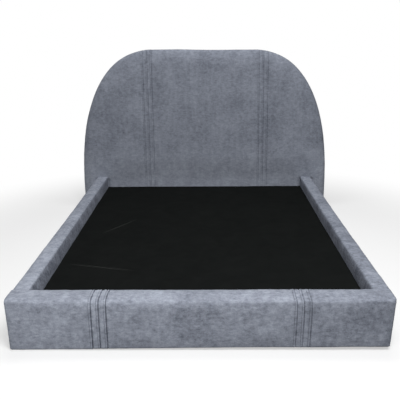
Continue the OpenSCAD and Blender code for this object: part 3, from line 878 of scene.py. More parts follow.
def stitches(name: str, cover: Object, paths: Sequence[np.ndarray], pitch: float = 4.0 * MM) -> Object:
    """Lays a row of stitches over a cover along each path.

    Args:
        name: the new piece's name.
        cover: the cover that they are sewn through.
        paths: points that each row follows, outside the cover.
        pitch: the length from one stitch to the next.

    Returns:
        One object with every stitch.
    """
    tree = BVHTree.FromObject(cover, bpy.context.evaluated_depsgraph_get())
    rows = []
    for path in paths:
        points = []
        for spot in path:
            place = Vector(spot)
            for _ in range(NEARING_STEPS):
                place, normal, _, _ = tree.find_nearest(Vector((spot[0], place.y, place.z)))
            points.append(place + ABOVE_COVER * normal)
        points = np.array(points)
        points[:, 0] = path[:, 0]
        points[1:-1] = (points[:-2] + 2 * points[1:-1] + points[2:]) / 4
        way = thread_curve(points)
        row = one_stitch(STITCH_SHARE * pitch, THREAD_RADIUS)
        modify(row, "ARRAY", fit_type="FIT_CURVE", curve=way, use_relative_offset=False,
               use_constant_offset=True, constant_offset_displace=(pitch, 0.0, 0.0))
        modify(row, "CURVE", object=way, deform_axis="POS_X")
        bpy.data.objects.remove(way)
        rows.append(row)
    activate(rows[0])
    for row in rows:
        row.select_set(True)
    bpy.ops.object.join()
    rows[0].name = name
    return rows[0]


def foam_piece(name: str, node: str, voxel: float, shape: FromPoints) -> Object:
    """Makes the foam that stands for a soft CAD solid: a soft-edged copy of its form.

    Args:
        name: the new piece's name.
        node: the CAD node that it stands for.
        voxel: the size of its mesh.
        shape: what its cover's shape does to the points.

    Returns:
        The new piece.
    """
    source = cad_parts[node]
    piece = bpy.data.objects.new(name, source.data.copy())
    bpy.context.scene.collection.objects.link(piece)
    face_outwards(piece)
    modify(piece, "REMESH", mode="VOXEL", voxel_size=voxel)
    modify(piece, "SMOOTH", factor=0.5, iterations=2)
    places = points_of(piece)
    places += normals_of(piece) * FOAM_UNEVEN * ripple(places, 45 * MM, seed=5)[:, None]
    move_points(piece, shape(places))
    dress(piece, MATERIALS["foam"])
    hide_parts(node)
    return piece


@dataclass(frozen=True)
class Arch:
    """The headboard's outline: a flat top between two quarter curves on short uprights."""

    half: float
    low: float
    top: float
    foot: float = 150 * MM
    run: float = 611 * MM
    over: float = 2 * MM
    power: float = 2.4
    steps: int = 400

    def outline(self, inset: float, count: int) -> np.ndarray:
        """Points (x, z) from low right, over the top, to low left.

        Args:
            inset: how far the outline is drawn in.
            count: how many points.

        Returns:
            The points, spaced evenly along the outline.
        """
        turn = np.linspace(0, math.pi / 2, self.steps)
        x = self.half - self.run + (self.run - inset) * np.cos(turn) ** (2 / self.power)
        rise = self.top + self.over - self.foot - inset
        z = np.minimum(self.top - inset, self.foot + rise * np.sin(turn) ** (2 / self.power))
        right = np.vstack([[self.half - inset, self.low], np.column_stack([x, z])])
        path = np.vstack([right, right[::-1] * (-1, 1)])
        along = np.concatenate([[0.0], np.cumsum(np.linalg.norm(np.diff(path, axis=0), axis=1))])
        spots = np.linspace(0, along[-1], count)
        return np.column_stack([np.interp(spots, along, path[:, k]) for k in (0, 1)])

    def depth(self, places: np.ndarray) -> np.ndarray:
        """How far each point lies inside the arch and the sides, in metres.

        Args:
            places: the points, one row each.

        Returns:
            Metres from the outline, or 0 outside it.
        """
        u = np.maximum(0, np.abs(places[:, 0]) - (self.half - self.run))
        v = np.maximum(0, places[:, 2] - self.foot)
        rise = self.top + self.over - self.foot
        share = ((u / self.run) ** self.power + (v / rise) ** self.power) ** (1 / self.power)
        inward = np.where(share > 0, np.hypot(u, v) * (1 - share) / np.maximum(share, 1e-6), self.half)
        return np.maximum(0, np.minimum(self.top - places[:, 2], inward))


def closed_loft(name: str, rings: Sequence[np.ndarray]) -> Object:
    """Skins rings of equal length from first to last and closes both ends.

    Args:
        name: the object's name.
        rings: the rings, from first to last.

    Returns:
        The new object.
    """
    count = len(rings[0])
    last = (len(rings) - 1) * count
    faces: list[tuple[int, ...]] = [tuple(range(count)), tuple(range(last, last + count))]
    for r in range(len(rings) - 1):
        for k in range(count):
            a, b = r * count + k, r * count + (k + 1) % count
            faces.append((a, b, b + count, a + count))
    piece = mesh_piece(name, np.vstack(rings), faces)
    face_outwards(piece)
    return piece


@dataclass
class Headboard:
    """The arched headboard's cover, foam, back cloth and stitches."""

    roll_w: float = 100 * MM
    roll_d: float = 30 * MM
    hem: float = 40 * MM
    skin: float = 3 * MM
    voxel: float = 9 * MM
    back_edge: float = 12 * MM
    seed: int = 11
    waves: tuple[Span, ...] = ((0.5 * MM, 0.24), (0.22 * MM, 0.075))
    gather_least: float = 0.12 * MM
    gather_more: float = 0.55 * MM
    gather_below: float = 70 * MM
    gather_over: float = 60 * MM
    rumpled: float = 0.76
    # Painted light: the lower part of the headboard is made paler, fading out over the heights given next;
    # the whole cover's tone is also shifted down a little.
    pile: float = -0.05
    pile_low: float = 0.25
    pile_low_to: Span = (0.22, 0.62)
    cloth_border: float = 14 * MM
    held_back: float = 30 * MM
    held_low: float = 12 * MM
    right_in: float = 4.5 * MM
    right_from: Span = (0.50, 0.93)
    right_until: Span = (20 * MM, 44 * MM)
    left_up: float = 6.5 * MM
    left_from: Span = (-0.10, 0.25)
    left_until: Span = (0.72, 0.88)
    left_above: Span = (0.80, 1.10)
    pressed_in: float = 16 * MM
    dimple: float = 12 * MM
    soft_until: Span = (8 * MM, 34 * MM)
    deck_until: Span = (0.20, 0.42)
    deck_beside: Span = (0.86, 0.90)
    rail_until: Span = (0.225, 0.245)
    rail_inner: Span = (0.748, 0.768)
    rail_outer: Span = (0.858, 0.876)
    wall_from: Span = (-35 * MM, -15 * MM)
    left_lines: tuple[float, ...] = (-458 * MM, -425 * MM, -392 * MM)
    right_lines: tuple[float, ...] = (427 * MM, 461 * MM, 494 * MM)
    right_sway: tuple[float, ...] = (-4.5 * MM, -4.5 * MM, -2.5 * MM, -1 * MM, 1 * MM, 3 * MM, 4.5 * MM)
    arch: Arch = field(init=False)
    front: float = field(init=False)
    back: float = field(init=False)

    def __post_init__(self) -> None:
        """Takes the headboard's size from the frame."""
        low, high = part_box("headboard_cover")
        self.arch = Arch(half=high.x, low=low.z, top=high.z)
        self.front, self.back = low.y, high.y

    def ring(self, inset: float, y: float) -> np.ndarray:
        """The outline drawn in by inset, at depth y."""
        outline = self.arch.outline(inset, 320)
        return np.column_stack([outline[:, 0], np.full(len(outline), y), outline[:, 1]])

    def form(self) -> Object:
        """The closed form, with its soft roll round the front.

        Returns:
            The form, not yet remeshed.
        """
        turns = np.linspace(0, math.pi / 2, 14)
        rings = [self.ring(self.roll_w * (1 - math.sin(a)), self.front + self.roll_d * (1 - math.cos(a)))
                 for a in turns]
        rings.append(self.ring(0.0, self.back - self.back_edge))
        rings.append(self.ring(self.back_edge, self.back))
        return closed_loft("headboard_upholstery", rings)

    def sewing(self) -> Sewing:
        """The three tucks on each side.

        Returns:
            Both groups, with the cover's size.
        """
        look = {"raised": 0.9 * MM, "gap": 2.2 * MM, "dip": 0.5 * MM, "shade": 0.5}
        groups = Pleats(self.left_lines, **look), Pleats(self.right_lines, self.right_sway, **look)
        return Sewing(groups, self.front, self.back, self.arch.top, self.arch.low)

    def cover(self) -> Object:
        """The velour cover: swelled, sewn, opened behind and given its thickness.

        Returns:
            The finished cover.
        """
        piece = self.form()
        modify(piece, "REMESH", mode="VOXEL", voxel_size=self.voxel)
        modify(piece, "SMOOTH", factor=0.5, iterations=4)
        move_points(piece, self.full_edge(points_of(piece)))

        def behind(middle: Vector, normal: Vector) -> bool:
            """Tells the faces that are cut away behind.

            Args:
                middle: the face's middle.
                normal: the way it looks.

            Returns:
                Whether it lies inside the hems at the back.
            """
            spot = np.array([tuple(middle)])
            above = middle.z > self.arch.low + self.hem
            return middle.y > self.back - 2 * MM and above and self.arch.depth(spot)[0] > self.hem

        cut_away(piece, behind)
        places, sewing = points_of(piece), self.sewing()
        held = (places[:, 1] > self.back - self.held_back) | (places[:, 2] < self.arch.low + self.held_low)
        swell(piece, held | sewing.held(places), pressure=0.4, cap=5 * MM)
        top_roll = self.arch.top - self.gather_below

        def strength(spots: np.ndarray) -> np.ndarray:
            """Full folds in front, and flat ones behind."""
            return np.where(spots[:, 1] > self.back - self.held_back, 0.25, 1.0)

        def gather(spots: np.ndarray) -> np.ndarray:
            """Puckers that deepen over the top."""
            above = np.clip((spots[:, 2] - top_roll) / self.gather_over, 0, 1)
            return self.gather_least + self.gather_more * above

        sewing.sew(piece, strength, gather)
        places = points_of(piece)
        uneven = wander(places, self.waves, self.seed)
        uneven = uneven * np.clip((self.back - 10 * MM - places[:, 1]) / (40 * MM), 0, 1)
        move_points(piece, self.settled(places + normals_of(piece) * uneven[:, None]))
        self.keep_inside(piece)
        modify(piece, "SOLIDIFY", thickness=self.skin, offset=-1.0)
        carry(piece, "rumpled", np.full(len(piece.data.vertices), self.rumpled))
        # Painted light: the headboard's lower part is made paler, carried in the pile attribute.
        low = 1 - ramp(points_of(piece)[:, 2], *self.pile_low_to)
        carry(piece, "pile", self.pile + self.pile_low * low)
        dress(piece, MATERIALS["velour"], math.radians(70))
        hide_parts("headboard_cover")
        return piece

    def full_edge(self, places: np.ndarray) -> np.ndarray:
        """Draws the sides out to the outline near the back, and the back's outer edge to its round.

        Args:
            places: the cover's points, whose remesh leaves that edge uneven.

        Returns:
            The points with a full, even edge behind.
        """
        moved, turn = places.copy(), self.back_edge
        depth = self.arch.depth(places)
        behind = places[:, 1] - (self.back - turn)
        near = (depth < 2 * turn) & (places[:, 2] > self.arch.low + 8 * MM)
        over, within = np.maximum(behind, 0), np.maximum(turn - depth, 0)
        far = np.maximum(np.hypot(over, within), 1e-9)
        at_edge = near & (behind > 0) & (depth < turn)
        on_back = near & (behind > 0) & (depth >= turn)
        wanted = np.where(at_edge, turn - within * turn / far, np.where(on_back, depth, 0.0))
        out = np.where(near, (depth - wanted) * ramp(behind, *self.wall_from), 0.0)
        moved[:, 1] = np.where(at_edge, self.back - turn + over * turn / far, places[:, 1])
        moved[on_back, 1] = self.back
        across = np.maximum(0, np.abs(places[:, 0]) - (self.arch.half - self.arch.run))
        up = np.maximum(0, places[:, 2] - self.arch.foot)
        length = np.maximum(np.hypot(across, up), 1e-9)
        moved[:, 0] += np.sign(places[:, 0]) * out * across / length
        moved[:, 2] += out * up / length
        return moved

    def settled(self, places: np.ndarray) -> np.ndarray:
        """The points as the headboard stands: fuller at its top left, and pressed in by the base.

        Args:
            places: the points, one row each.

        Returns:
            The points after that.
        """
        moved = places.copy()
        x, y, z = places.T
        inward, beside = y - self.front, np.abs(x)
        left = ramp(-x, *self.left_from) * (1 - ramp(-x, *self.left_until))
        before = 1 - ramp(inward, *self.right_until)
        moved[:, 0] -= self.right_in * before * ramp(x, *self.right_from)
        moved[:, 2] += self.left_up * left * ramp(z, *self.left_above)
        soft = 1 - ramp(inward, *self.soft_until)
        deck = (1 - ramp(z, *self.deck_until)) * (1 - ramp(beside, *self.deck_beside))
        rails = (1 - ramp(z, *self.rail_until)) * ramp(beside, *self.rail_inner)
        rails = rails * (1 - ramp(beside, *self.rail_outer))
        moved[:, 1] += soft * (self.pressed_in * deck + self.dimple * rails)
        return moved

    def keep_inside(self, piece: Object) -> None:
        """Keeps the back and the underside flat where they rest.

        Args:
            piece: the cover.
        """
        places = points_of(piece)
        places[:, 1] = np.minimum(places[:, 1], self.back)
        places[:, 2] = np.maximum(places[:, 2], self.arch.low)
        move_points(piece, places)

    def sheet_grid(self, name: str, border: float, y: float, columns: int, rows: int) -> Object:
        """A flat grid that fills the outline drawn in by border, at depth y.

        Args:
            name: the new piece's name.
            border: how far the outline is drawn in.
            y: where the sheet lies.
            columns: how many columns each half has.
            rows: how many rows it has.

        Returns:
            The new piece, one layer thick.
        """
        outline = self.arch.outline(border, 2 * columns + 1)[:columns + 1]
        half = sorted({round(abs(x), 6): top for x, top in outline[::-1]}.items())
        across = [(-x, top) for x, top in reversed(half)] + [(x, top) for x, top in half if x > 1e-6]
        low, tall = self.arch.low + border, rows + 1
        points = [(x, y, low + (top - low) * k / rows) for x, top in across for k in range(tall)]
        starts = [column * tall + k for column in range(len(across) - 1) for k in range(rows)]
        faces = [(start, start + 1, start + tall + 1, start + tall) for start in starts]
        return mesh_piece(name, points, faces)

    def build(self) -> None:
        """Makes every piece of the headboard."""
        cover = self.cover()
        thread = stitches("headboard_stitches", cover, self.sewing().paths(start=0.0))
        dress(thread, MATERIALS["thread"])
        foam_piece("headboard_padding", "headboard_foam", 11 * MM, self.settled)


@dataclass
class Rail:
    """A padded rail: a rounded box, swelled, sewn and opened beneath."""

    node: str
    name: str
    radii: dict[str, float]
    voxel: float
    groups: tuple[Pleats, ...] = ()
    butts: bool = False
    bent: Callable[["Rail", np.ndarray], np.ndarray] | None = None
    crown: float = 2 * MM
    hem: float = 22 * MM
    skin: float = 3 * MM
    end_rim: float = 8 * MM
    end_gap: float = 5 * MM
    held_low: float = 8 * MM
    held_end: float = 12 * MM
    under_seam: float = 4 * MM
    seam_wide: float = 22 * MM
    seam_deep: float = 8 * MM
    gather_least: float = 0.2 * MM
    gather_more: float = 1.6 * MM
    gather_below: float = 34 * MM
    gather_over: float = 26 * MM
    seed: int = 1
    waves: tuple[Span, ...] = ((0.45 * MM, 0.16), (0.25 * MM, 0.05))
    rumpled: float = 1.08
    # Painted light and shade on the cover's tone: on its top, along its length, on its left and right sides
    # and towards its start.
    pile_above: float = 0.0
    pile_left: float = 0.0
    pile_right: float = 0.0
    pile_ends: Span = (0.0, 0.0)
    pile_near: float = 0.0
    low: Vector = field(init=False)
    high: Vector = field(init=False)

    def __post_init__(self) -> None:
        """Takes the rail's size from the frame."""
        self.low, self.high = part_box(self.node)

    def edge_weight(self, edge: bmesh.types.BMEdge) -> float:
        """The radius of one edge of the box, from the face directions that meet there."""
        names = sorted(self.side_of(f.normal) for f in edge.link_faces)
        return self.radii.get("+".join(names), 0.0)

    def side_of(self, normal: Vector) -> str:
        """The name of the box's side that looks that way."""
        axis = max(range(3), key=lambda k: abs(normal[k]))
        return ("left right", "front back", "bottom top")[axis].split()[int(normal[axis] > 0)]

    def form(self) -> Object:
        """The rounded box.

        Returns:
            The box at its place, with the radii of its edges.
        """
        bpy.ops.object.select_all(action="DESELECT")
        bpy.ops.mesh.primitive_cube_add(size=1.0)
        piece = bpy.context.object
        piece.name = self.name
        size, middle = self.high - self.low, (self.high + self.low) / 2
        move_points(piece, points_of(piece) * np.array(size) + np.array(middle))
        piece.data.attributes.new("bevel_weight_edge", "FLOAT", "EDGE")
        widest = max(self.radii.values())

        def weigh(shape: bmesh.types.BMesh) -> None:
            """Gives each edge its share of the widest radius.

            Args:
                shape: the box's mesh.
            """
            layer = shape.edges.layers.float["bevel_weight_edge"]
            for edge in shape.edges:
                edge[layer] = self.edge_weight(edge) / widest

        edit_mesh(piece, weigh)
        modify(piece, "BEVEL", width=widest, segments=7, limit_method="WEIGHT", use_clamp_overlap=False)
        return piece

    def crowned(self, places: np.ndarray) -> np.ndarray:
        """The points with the rail's top and front swelled a little in their middles.

        Args:
            places: the points, one row each.

        Returns:
            The points after that.
        """
        size = np.array(self.high - self.low)
        middle = np.array((self.high + self.low) / 2)
        share = (places - middle) / (size / 2)
        dome = np.clip(1 - share ** 2, 0, 1)
        along = dome[:, 1] ** 0.25 if self.butts else dome[:, 0]
        across = dome[:, 0] if self.butts else dome[:, 1]
        moved = places.copy()
        moved[:, 2] -= self.crown * (share[:, 2] > 0) * share[:, 2] * (1 - along * across)
        if not self.butts:
            moved[:, 1] += self.crown * (share[:, 1] < 0) * -share[:, 1] * (1 - dome[:, 0] * dome[:, 2])
        return moved

    def open_behind(self, middle: Vector, normal: Vector) -> bool:
        """Whether a face lies between the hems beneath, or inside the rim of an end that butts.

        Args:
            middle: the face's middle.
            normal: its normal.

        Returns:
            Whether it is left open.
        """
        inside = self.low.x + self.hem < middle.x < self.high.x - self.hem
        along = self.low.y + self.hem < middle.y < self.high.y - self.hem
        if middle.z < self.low.z + 2 * MM and inside and (along or self.butts):
            return True
        rim = self.end_rim
        clear = all(self.low[k] + rim < middle[k] < self.high[k] - rim for k in (0, 2))
        at_end = not self.low.y + 2 * MM < middle.y < self.high.y - 2 * MM
        return self.butts and at_end and abs(normal.y) > 0.7 and clear

    def lie_of_pile(self, places: np.ndarray, normals: np.ndarray) -> np.ndarray:
        """Light and shade painted into the cover's tone, partly standing for the pile's lie: paler or darker
        on its top, along its length, on its left and right halves below the top, and towards its start.

        Args:
            places: the cover's points.
            normals: their normals.

        Returns:
            What each point adds to the tone.
        """
        above = ramp(normals[:, 2], 0.2, 0.8)
        share = (places - np.array(self.low)) / np.array(self.high - self.low)
        x, along = share[:, 0], share[:, int(self.butts)]
        top = self.pile_above + np.interp(along, (0, 1), self.pile_ends)
        aside = self.pile_left * np.clip(1 - 2 * x, 0, 1) + self.pile_right * np.clip(2 * x - 1, 0, 1)
        aside += self.pile_near * (1 - ramp(along, 0.0, 0.6))
        return top * above + aside * (1 - above)

    def shaped(self, places: np.ndarray) -> np.ndarray:
        """The points after the rail's own bends."""
        return places if self.bent is None else self.bent(self, places)

    def build(self) -> Object:
        """Makes the cover.

        Returns:
            The finished cover.
        """
        piece = self.form()
        modify(piece, "REMESH", mode="VOXEL", voxel_size=self.voxel)
        modify(piece, "SMOOTH", factor=0.5, iterations=2)
        move_points(piece, self.crowned(points_of(piece)))
        cut_away(piece, self.open_behind)
        places = points_of(piece)
        held = places[:, 2] < self.low.z + self.held_low
        if self.butts:
            held |= places[:, 1] < self.low.y + self.held_end
            held |= places[:, 1] > self.high.y - self.held_end
        if self.groups:
            held |= self.sewing().held(places)
        swell(piece, held, pressure=0.4, cap=3 * MM)
        if self.groups:
            self.sewing().sew(piece, self.fold_strength, self.gather)
        else:
            carry(piece, "sewn", np.zeros(len(points_of(piece))))
        places = points_of(piece)
        uneven = wander(places, self.waves, self.seed)
        move_points(piece, self.shaped(places + normals_of(piece) * uneven[:, None]))
        modify(piece, "SOLIDIFY", thickness=self.skin, offset=-1.0)
        carry(piece, "rumpled", np.full(len(piece.data.vertices), self.rumpled))
        # Painted light and shade per region, carried in the pile attribute for the velour.
        carry(piece, "pile", self.lie_of_pile(points_of(piece), normals_of(piece)))
        dress(piece, MATERIALS["velour"], math.radians(70))
        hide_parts(self.node)
        return piece

    def fold_strength(self, spots: np.ndarray) -> np.ndarray:
        """How high the folds stand: fully, but for those turned in beneath."""
        return np.where(spots[:, 2] < self.low.z + 4 * MM, 0.3, 1.0)

    def gather(self, spots: np.ndarray) -> np.ndarray:
        """How much the cloth puckers beside the folds: most on the rail's top."""
        above = (spots[:, 2] - (self.high.z - self.gather_below)) / self.gather_over
        return self.gather_least + self.gather_more * np.clip(above, 0, 1)

    def pressed(self, places: np.ndarray) -> np.ndarray:
        """The foam's points, bent as the cover is, and pressed in under seams and at an end that butts.

        Args:
            places: the foam's points, one row each.

        Returns:
            The points after that.
        """
        press = np.zeros(len(places))
        for line in (line for group in self.groups for line in group.lines):
            press += bump(places[:, 0] - line, self.seam_wide)
        press = self.under_seam * np.minimum(press, 1)
        if self.butts:
            press = np.full(len(places), self.end_gap)
        moved = places.copy()
        moved[:, 1] += press * (places[:, 1] < self.low.y + self.seam_deep)
        moved[:, 1] -= press * (places[:, 1] > self.high.y - self.seam_deep)
        if not self.butts:
            moved[:, 2] -= press * (places[:, 2] > self.high.z - self.seam_deep)
        return self.shaped(self.crowned(moved))

    def sewing(self) -> Sewing:
        """The tucks sewn into this rail."""
        return Sewing(self.groups, self.low.y, self.high.y, self.high.z, self.low.z)


@dataclass(frozen=True)
class Bend:
    """How a side rail stands aside, in millimetres towards +X, at even steps from the foot to the head."""

    deck: tuple[float, ...]
    inner: tuple[float, ...]
    outer: tuple[float, ...]

    def aside(self, along: np.ndarray, across: np.ndarray, tall: np.ndarray) -> np.ndarray:
        """How far points stand aside.

        Args:
            along: their shares of the way from the foot to the head.
            across: their shares of the way from the inner face to the outer one.
            tall: their shares of the way from the deck to the rail's top.

        Returns:
            Metres towards +X.
        """
        steps = np.linspace(0, 1, len(self.deck))
        deck, inner, outer = (np.interp(along, steps, line) for line in (self.deck, self.inner, self.outer))
        rise = ramp(tall, 0, 1)
        return MM * ((1 - across) * (deck + (inner - deck) * rise) + across * outer * ramp(tall, -0.5, 1))


@dataclass
class Base:
    """The foot rail and the two side rails, with their foam and stitches."""

    left_lines: tuple[float, ...] = (-475 * MM, -441 * MM, -408 * MM)
    right_lines: tuple[float, ...] = (430 * MM, 461 * MM, 494 * MM)
    right_sway: tuple[float, ...] = (-2 * MM, -4.5 * MM, -1.5 * MM, -3 * MM, -5 * MM)
    left_drawn_in: float = 4 * MM
    right_drawn_in: float = 8 * MM
    drawn_at: Span = (0.70, 0.85)
    drawn_along: float = 0.5
    squared: float = 3.5
    squared_at: Span = (0.72, 0.84)
    crisp: float = 1.4
    crisp_at: Span = (0.05, 0.40)
    left_out: float = 4 * MM
    right_out: float = 6.5 * MM
    out_at: Span = (0.79, 0.85)
    full_ends: float = 2 * MM
    full_ends_at: Span = (0.70, 0.84)
    full_right: float = 1.5 * MM
    full_right_at: Span = (0.1, 0.3)
    hang: tuple[float, ...] = (10.5, 8.5, 4.5, 2.0, -1.5, -2.5, -4.0, -4.5)
    lip: float = 4.5 * MM
    lip_outer: Span = (0.843, 0.850)
    reach: float = 26 * MM
    left_rise: float = 8 * MM
    right_rise: float = 3 * MM
    rise_from: float = 0.30
    rise_above: float = 0.10
    left_bend: Bend = Bend((6, 4.5, 2, -0.5, -1), (-7, -5, -6.5, -8, 0), (0, -2, -1.5, -4, 0))
    right_bend: Bend = Bend((6.5, 5.5, 4, 1.5, 0), (13, 8, 2, 0, -5), (9, 3, -2.5, -4, -8))
    deck: float = field(init=False)

    def __post_init__(self) -> None:
        """Takes the deck's height from the frame."""
        self.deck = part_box("deck_cloth")[1].z

    def drawn_in(self, rail: Rail, places: np.ndarray) -> np.ndarray:
        """How far each point is drawn aside, as the base's foot end narrows towards the floor.

        Args:
            rail: the rail.
            places: its points.

        Returns:
            Metres towards +X.
        """
        down = ramp(-places[:, 2], -rail.high.z + 20 * MM, -rail.low.z)
        left, right = ramp(-places[:, 0], *self.drawn_at), ramp(places[:, 0], *self.drawn_at)
        return down * (self.left_drawn_in * left - self.right_drawn_in * right)

    def squared_corner(self, rail: Rail, places: np.ndarray) -> np.ndarray:
        """The foot rail's points, with its round upper edge squared towards both ends.

        Args:
            rail: the rail.
            places: its points.

        Returns:
            The points after that.
        """
        moved = places.copy()
        radius = rail.radii["front+top"]
        y = places[:, 1] - rail.low.y - radius
        z = places[:, 2] - rail.high.z + radius
        at = (y < 0) & (z > 0)
        x = places[at, 0]
        at_ends = self.squared * ramp(np.abs(x), *self.squared_at)
        power = 2 + np.maximum(at_ends, self.crisp * ramp(x, *self.crisp_at))
        far = np.hypot(y[at], z[at])
        grow = 1 / ((-y[at] / far) ** power + (z[at] / far) ** power) ** (1 / power) - 1
        moved[at, 1] += y[at] * grow
        moved[at, 2] += z[at] * grow
        return moved

    def foot_shape(self, rail: Rail, places: np.ndarray) -> np.ndarray:
        """Bends the foot rail as it stands.

        Its upper corners are full, its ends are drawn in below and its lower front edge hangs to the left.

        Args:
            rail: the rail.
            places: its points.

        Returns:
            The points after these bends.
        """
        moved = self.squared_corner(rail, places)
        x, y, z = places.T
        upper = ramp(z, rail.high.z - 30 * MM, rail.high.z - 6 * MM)
        behind = ramp(y, rail.low.y + 4 * MM, rail.low.y + 30 * MM)
        out = self.right_out * ramp(x, *self.out_at) - self.left_out * ramp(-x, *self.out_at)
        moved[:, 0] += self.drawn_in(rail, places) + out * upper * behind
        full = self.full_ends * upper * ramp(np.abs(x), *self.full_ends_at)
        moved[:, 2] += full + self.full_right * upper * behind * ramp(x, *self.full_right_at)
        down = ramp(-z, -rail.high.z + 40 * MM, -rail.low.z)
        share = (x - rail.low.x) / (rail.high.x - rail.low.x)
        hang = MM * np.interp(share, np.linspace(0, 1, len(self.hang)), self.hang)
        moved[:, 2] -= hang * down * ramp(-y, -rail.high.y - 10 * MM, -rail.low.y - 6 * MM)
        return moved

    def side_shape(self, rail: Rail, places: np.ndarray) -> np.ndarray:
        """Bends a side rail as it stands.

        It laps over the foot rail, leans and splays a little, and its far end is pushed up and into the
        headboard.

        Args:
            rail: the rail.
            places: its points.

        Returns:
            The points after these bends.
        """
        moved = places.copy()
        x, y, z = places.T
        upper = ramp(z, rail.high.z - 24 * MM, rail.high.z - 14 * MM)
        outer = ramp(np.abs(x), *self.lip_outer)
        near = 1 - ramp(y, rail.low.y + 1 * MM, rail.low.y + 9 * MM)
        moved[:, 1] -= self.lip * near * np.maximum(upper, 0.5 * outer)
        at_foot = 1 - ramp(y, rail.low.y, rail.low.y + self.drawn_along)
        moved[:, 0] += self.drawn_in(rail, places) * at_foot
        left = rail.high.x < 0
        along = (y - rail.low.y) / (rail.high.y - rail.low.y)
        wide = rail.high.x - rail.low.x
        across = (rail.high.x - x) / wide if left else (x - rail.low.x) / wide
        tall = (z - self.deck) / (rail.high.z - self.deck)
        bend = self.left_bend if left else self.right_bend
        moved[:, 0] += bend.aside(along, np.clip(across, 0, 1), tall)
        moved[:, 1] += self.reach * ramp(y, rail.high.y - 80 * MM, rail.high.y - 4 * MM)
        rise = self.left_rise if left else self.right_rise
        rise = rise * ramp(y, self.rise_from, rail.high.y)
        moved[:, 2] += rise * ramp(z, rail.low.z + self.rise_above, rail.high.z)
        return moved

    def build(self) -> None:
        """Makes every padded piece of the base."""
        foot_radii = {"front+top": 28 * MM, "left+top": 6 * MM, "right+top": 6 * MM, "back+top": 6 * MM,
                      "front+left": 9 * MM, "front+right": 9 * MM, "back+left": 4 * MM, "back+right": 4 * MM,
                      "bottom+front": 4 * MM, "bottom+left": 7 * MM, "bottom+right": 7 * MM,
                      "back+bottom": 7 * MM}
        groups = (Pleats(self.left_lines, gap=4 * MM, slit=3.4 * MM),
                  Pleats(self.right_lines, self.right_sway, shade=0.6))
        # The foot rail's painted light and shade: its top paler, most at its left end, and the left half of
        # its front paler.
        foot = Rail("foot_rail_cover", "foot_rail_upholstery", foot_radii, 6 * MM, groups,
                    bent=self.foot_shape, seed=21, pile_above=0.07, pile_left=0.16, pile_right=0.02,
                    pile_ends=(0.15, -0.03))
        cover = foot.build()
        thread = stitches("foot_rail_stitches", cover, foot.sewing().paths(start=70 * MM))
        dress(thread, MATERIALS["thread"])
        foam_piece("foot_rail_padding", "foot_rail_foam", 7 * MM, foot.pressed)
        # Side rails: painted light and shade on the tops, varying along them, and painted shade on each
        # inner face and on the sides towards the foot end.
        for side, outer, inner, pile, ends, near in (
                ("left", "left", "right", 0.15, (0.12, -0.08), -0.12),
                ("right", "right", "left", -0.04, (-0.08, 0.11), -0.2)):
            radii = {f"{outer}+top": 11 * MM, f"{inner}+top": 11 * MM,
                     f"bottom+{outer}": 7 * MM, f"bottom+{inner}": 7 * MM}
            for end in ("front", "back"):
                others = ("top", "left", "right", "bottom")
                radii |= {"+".join(sorted((end, other))): 4 * MM for other in others}
            rail = Rail(f"rail_cover_{side}", f"side_rail_upholstery_{side}", radii, 6 * MM, butts=True,
                        bent=self.side_shape, crown=1.5 * MM, seed=31 if side == "left" else 41,
                        pile_above=pile, pile_left=-0.18 if side == "right" else 0.0,
                        pile_right=-0.25 if side == "left" else 0.0, pile_ends=ends,
                        pile_near=near)
            rail.build()
            foam_piece(f"side_rail_padding_{side}", f"rail_foam_{side}", 7 * MM, rail.pressed)


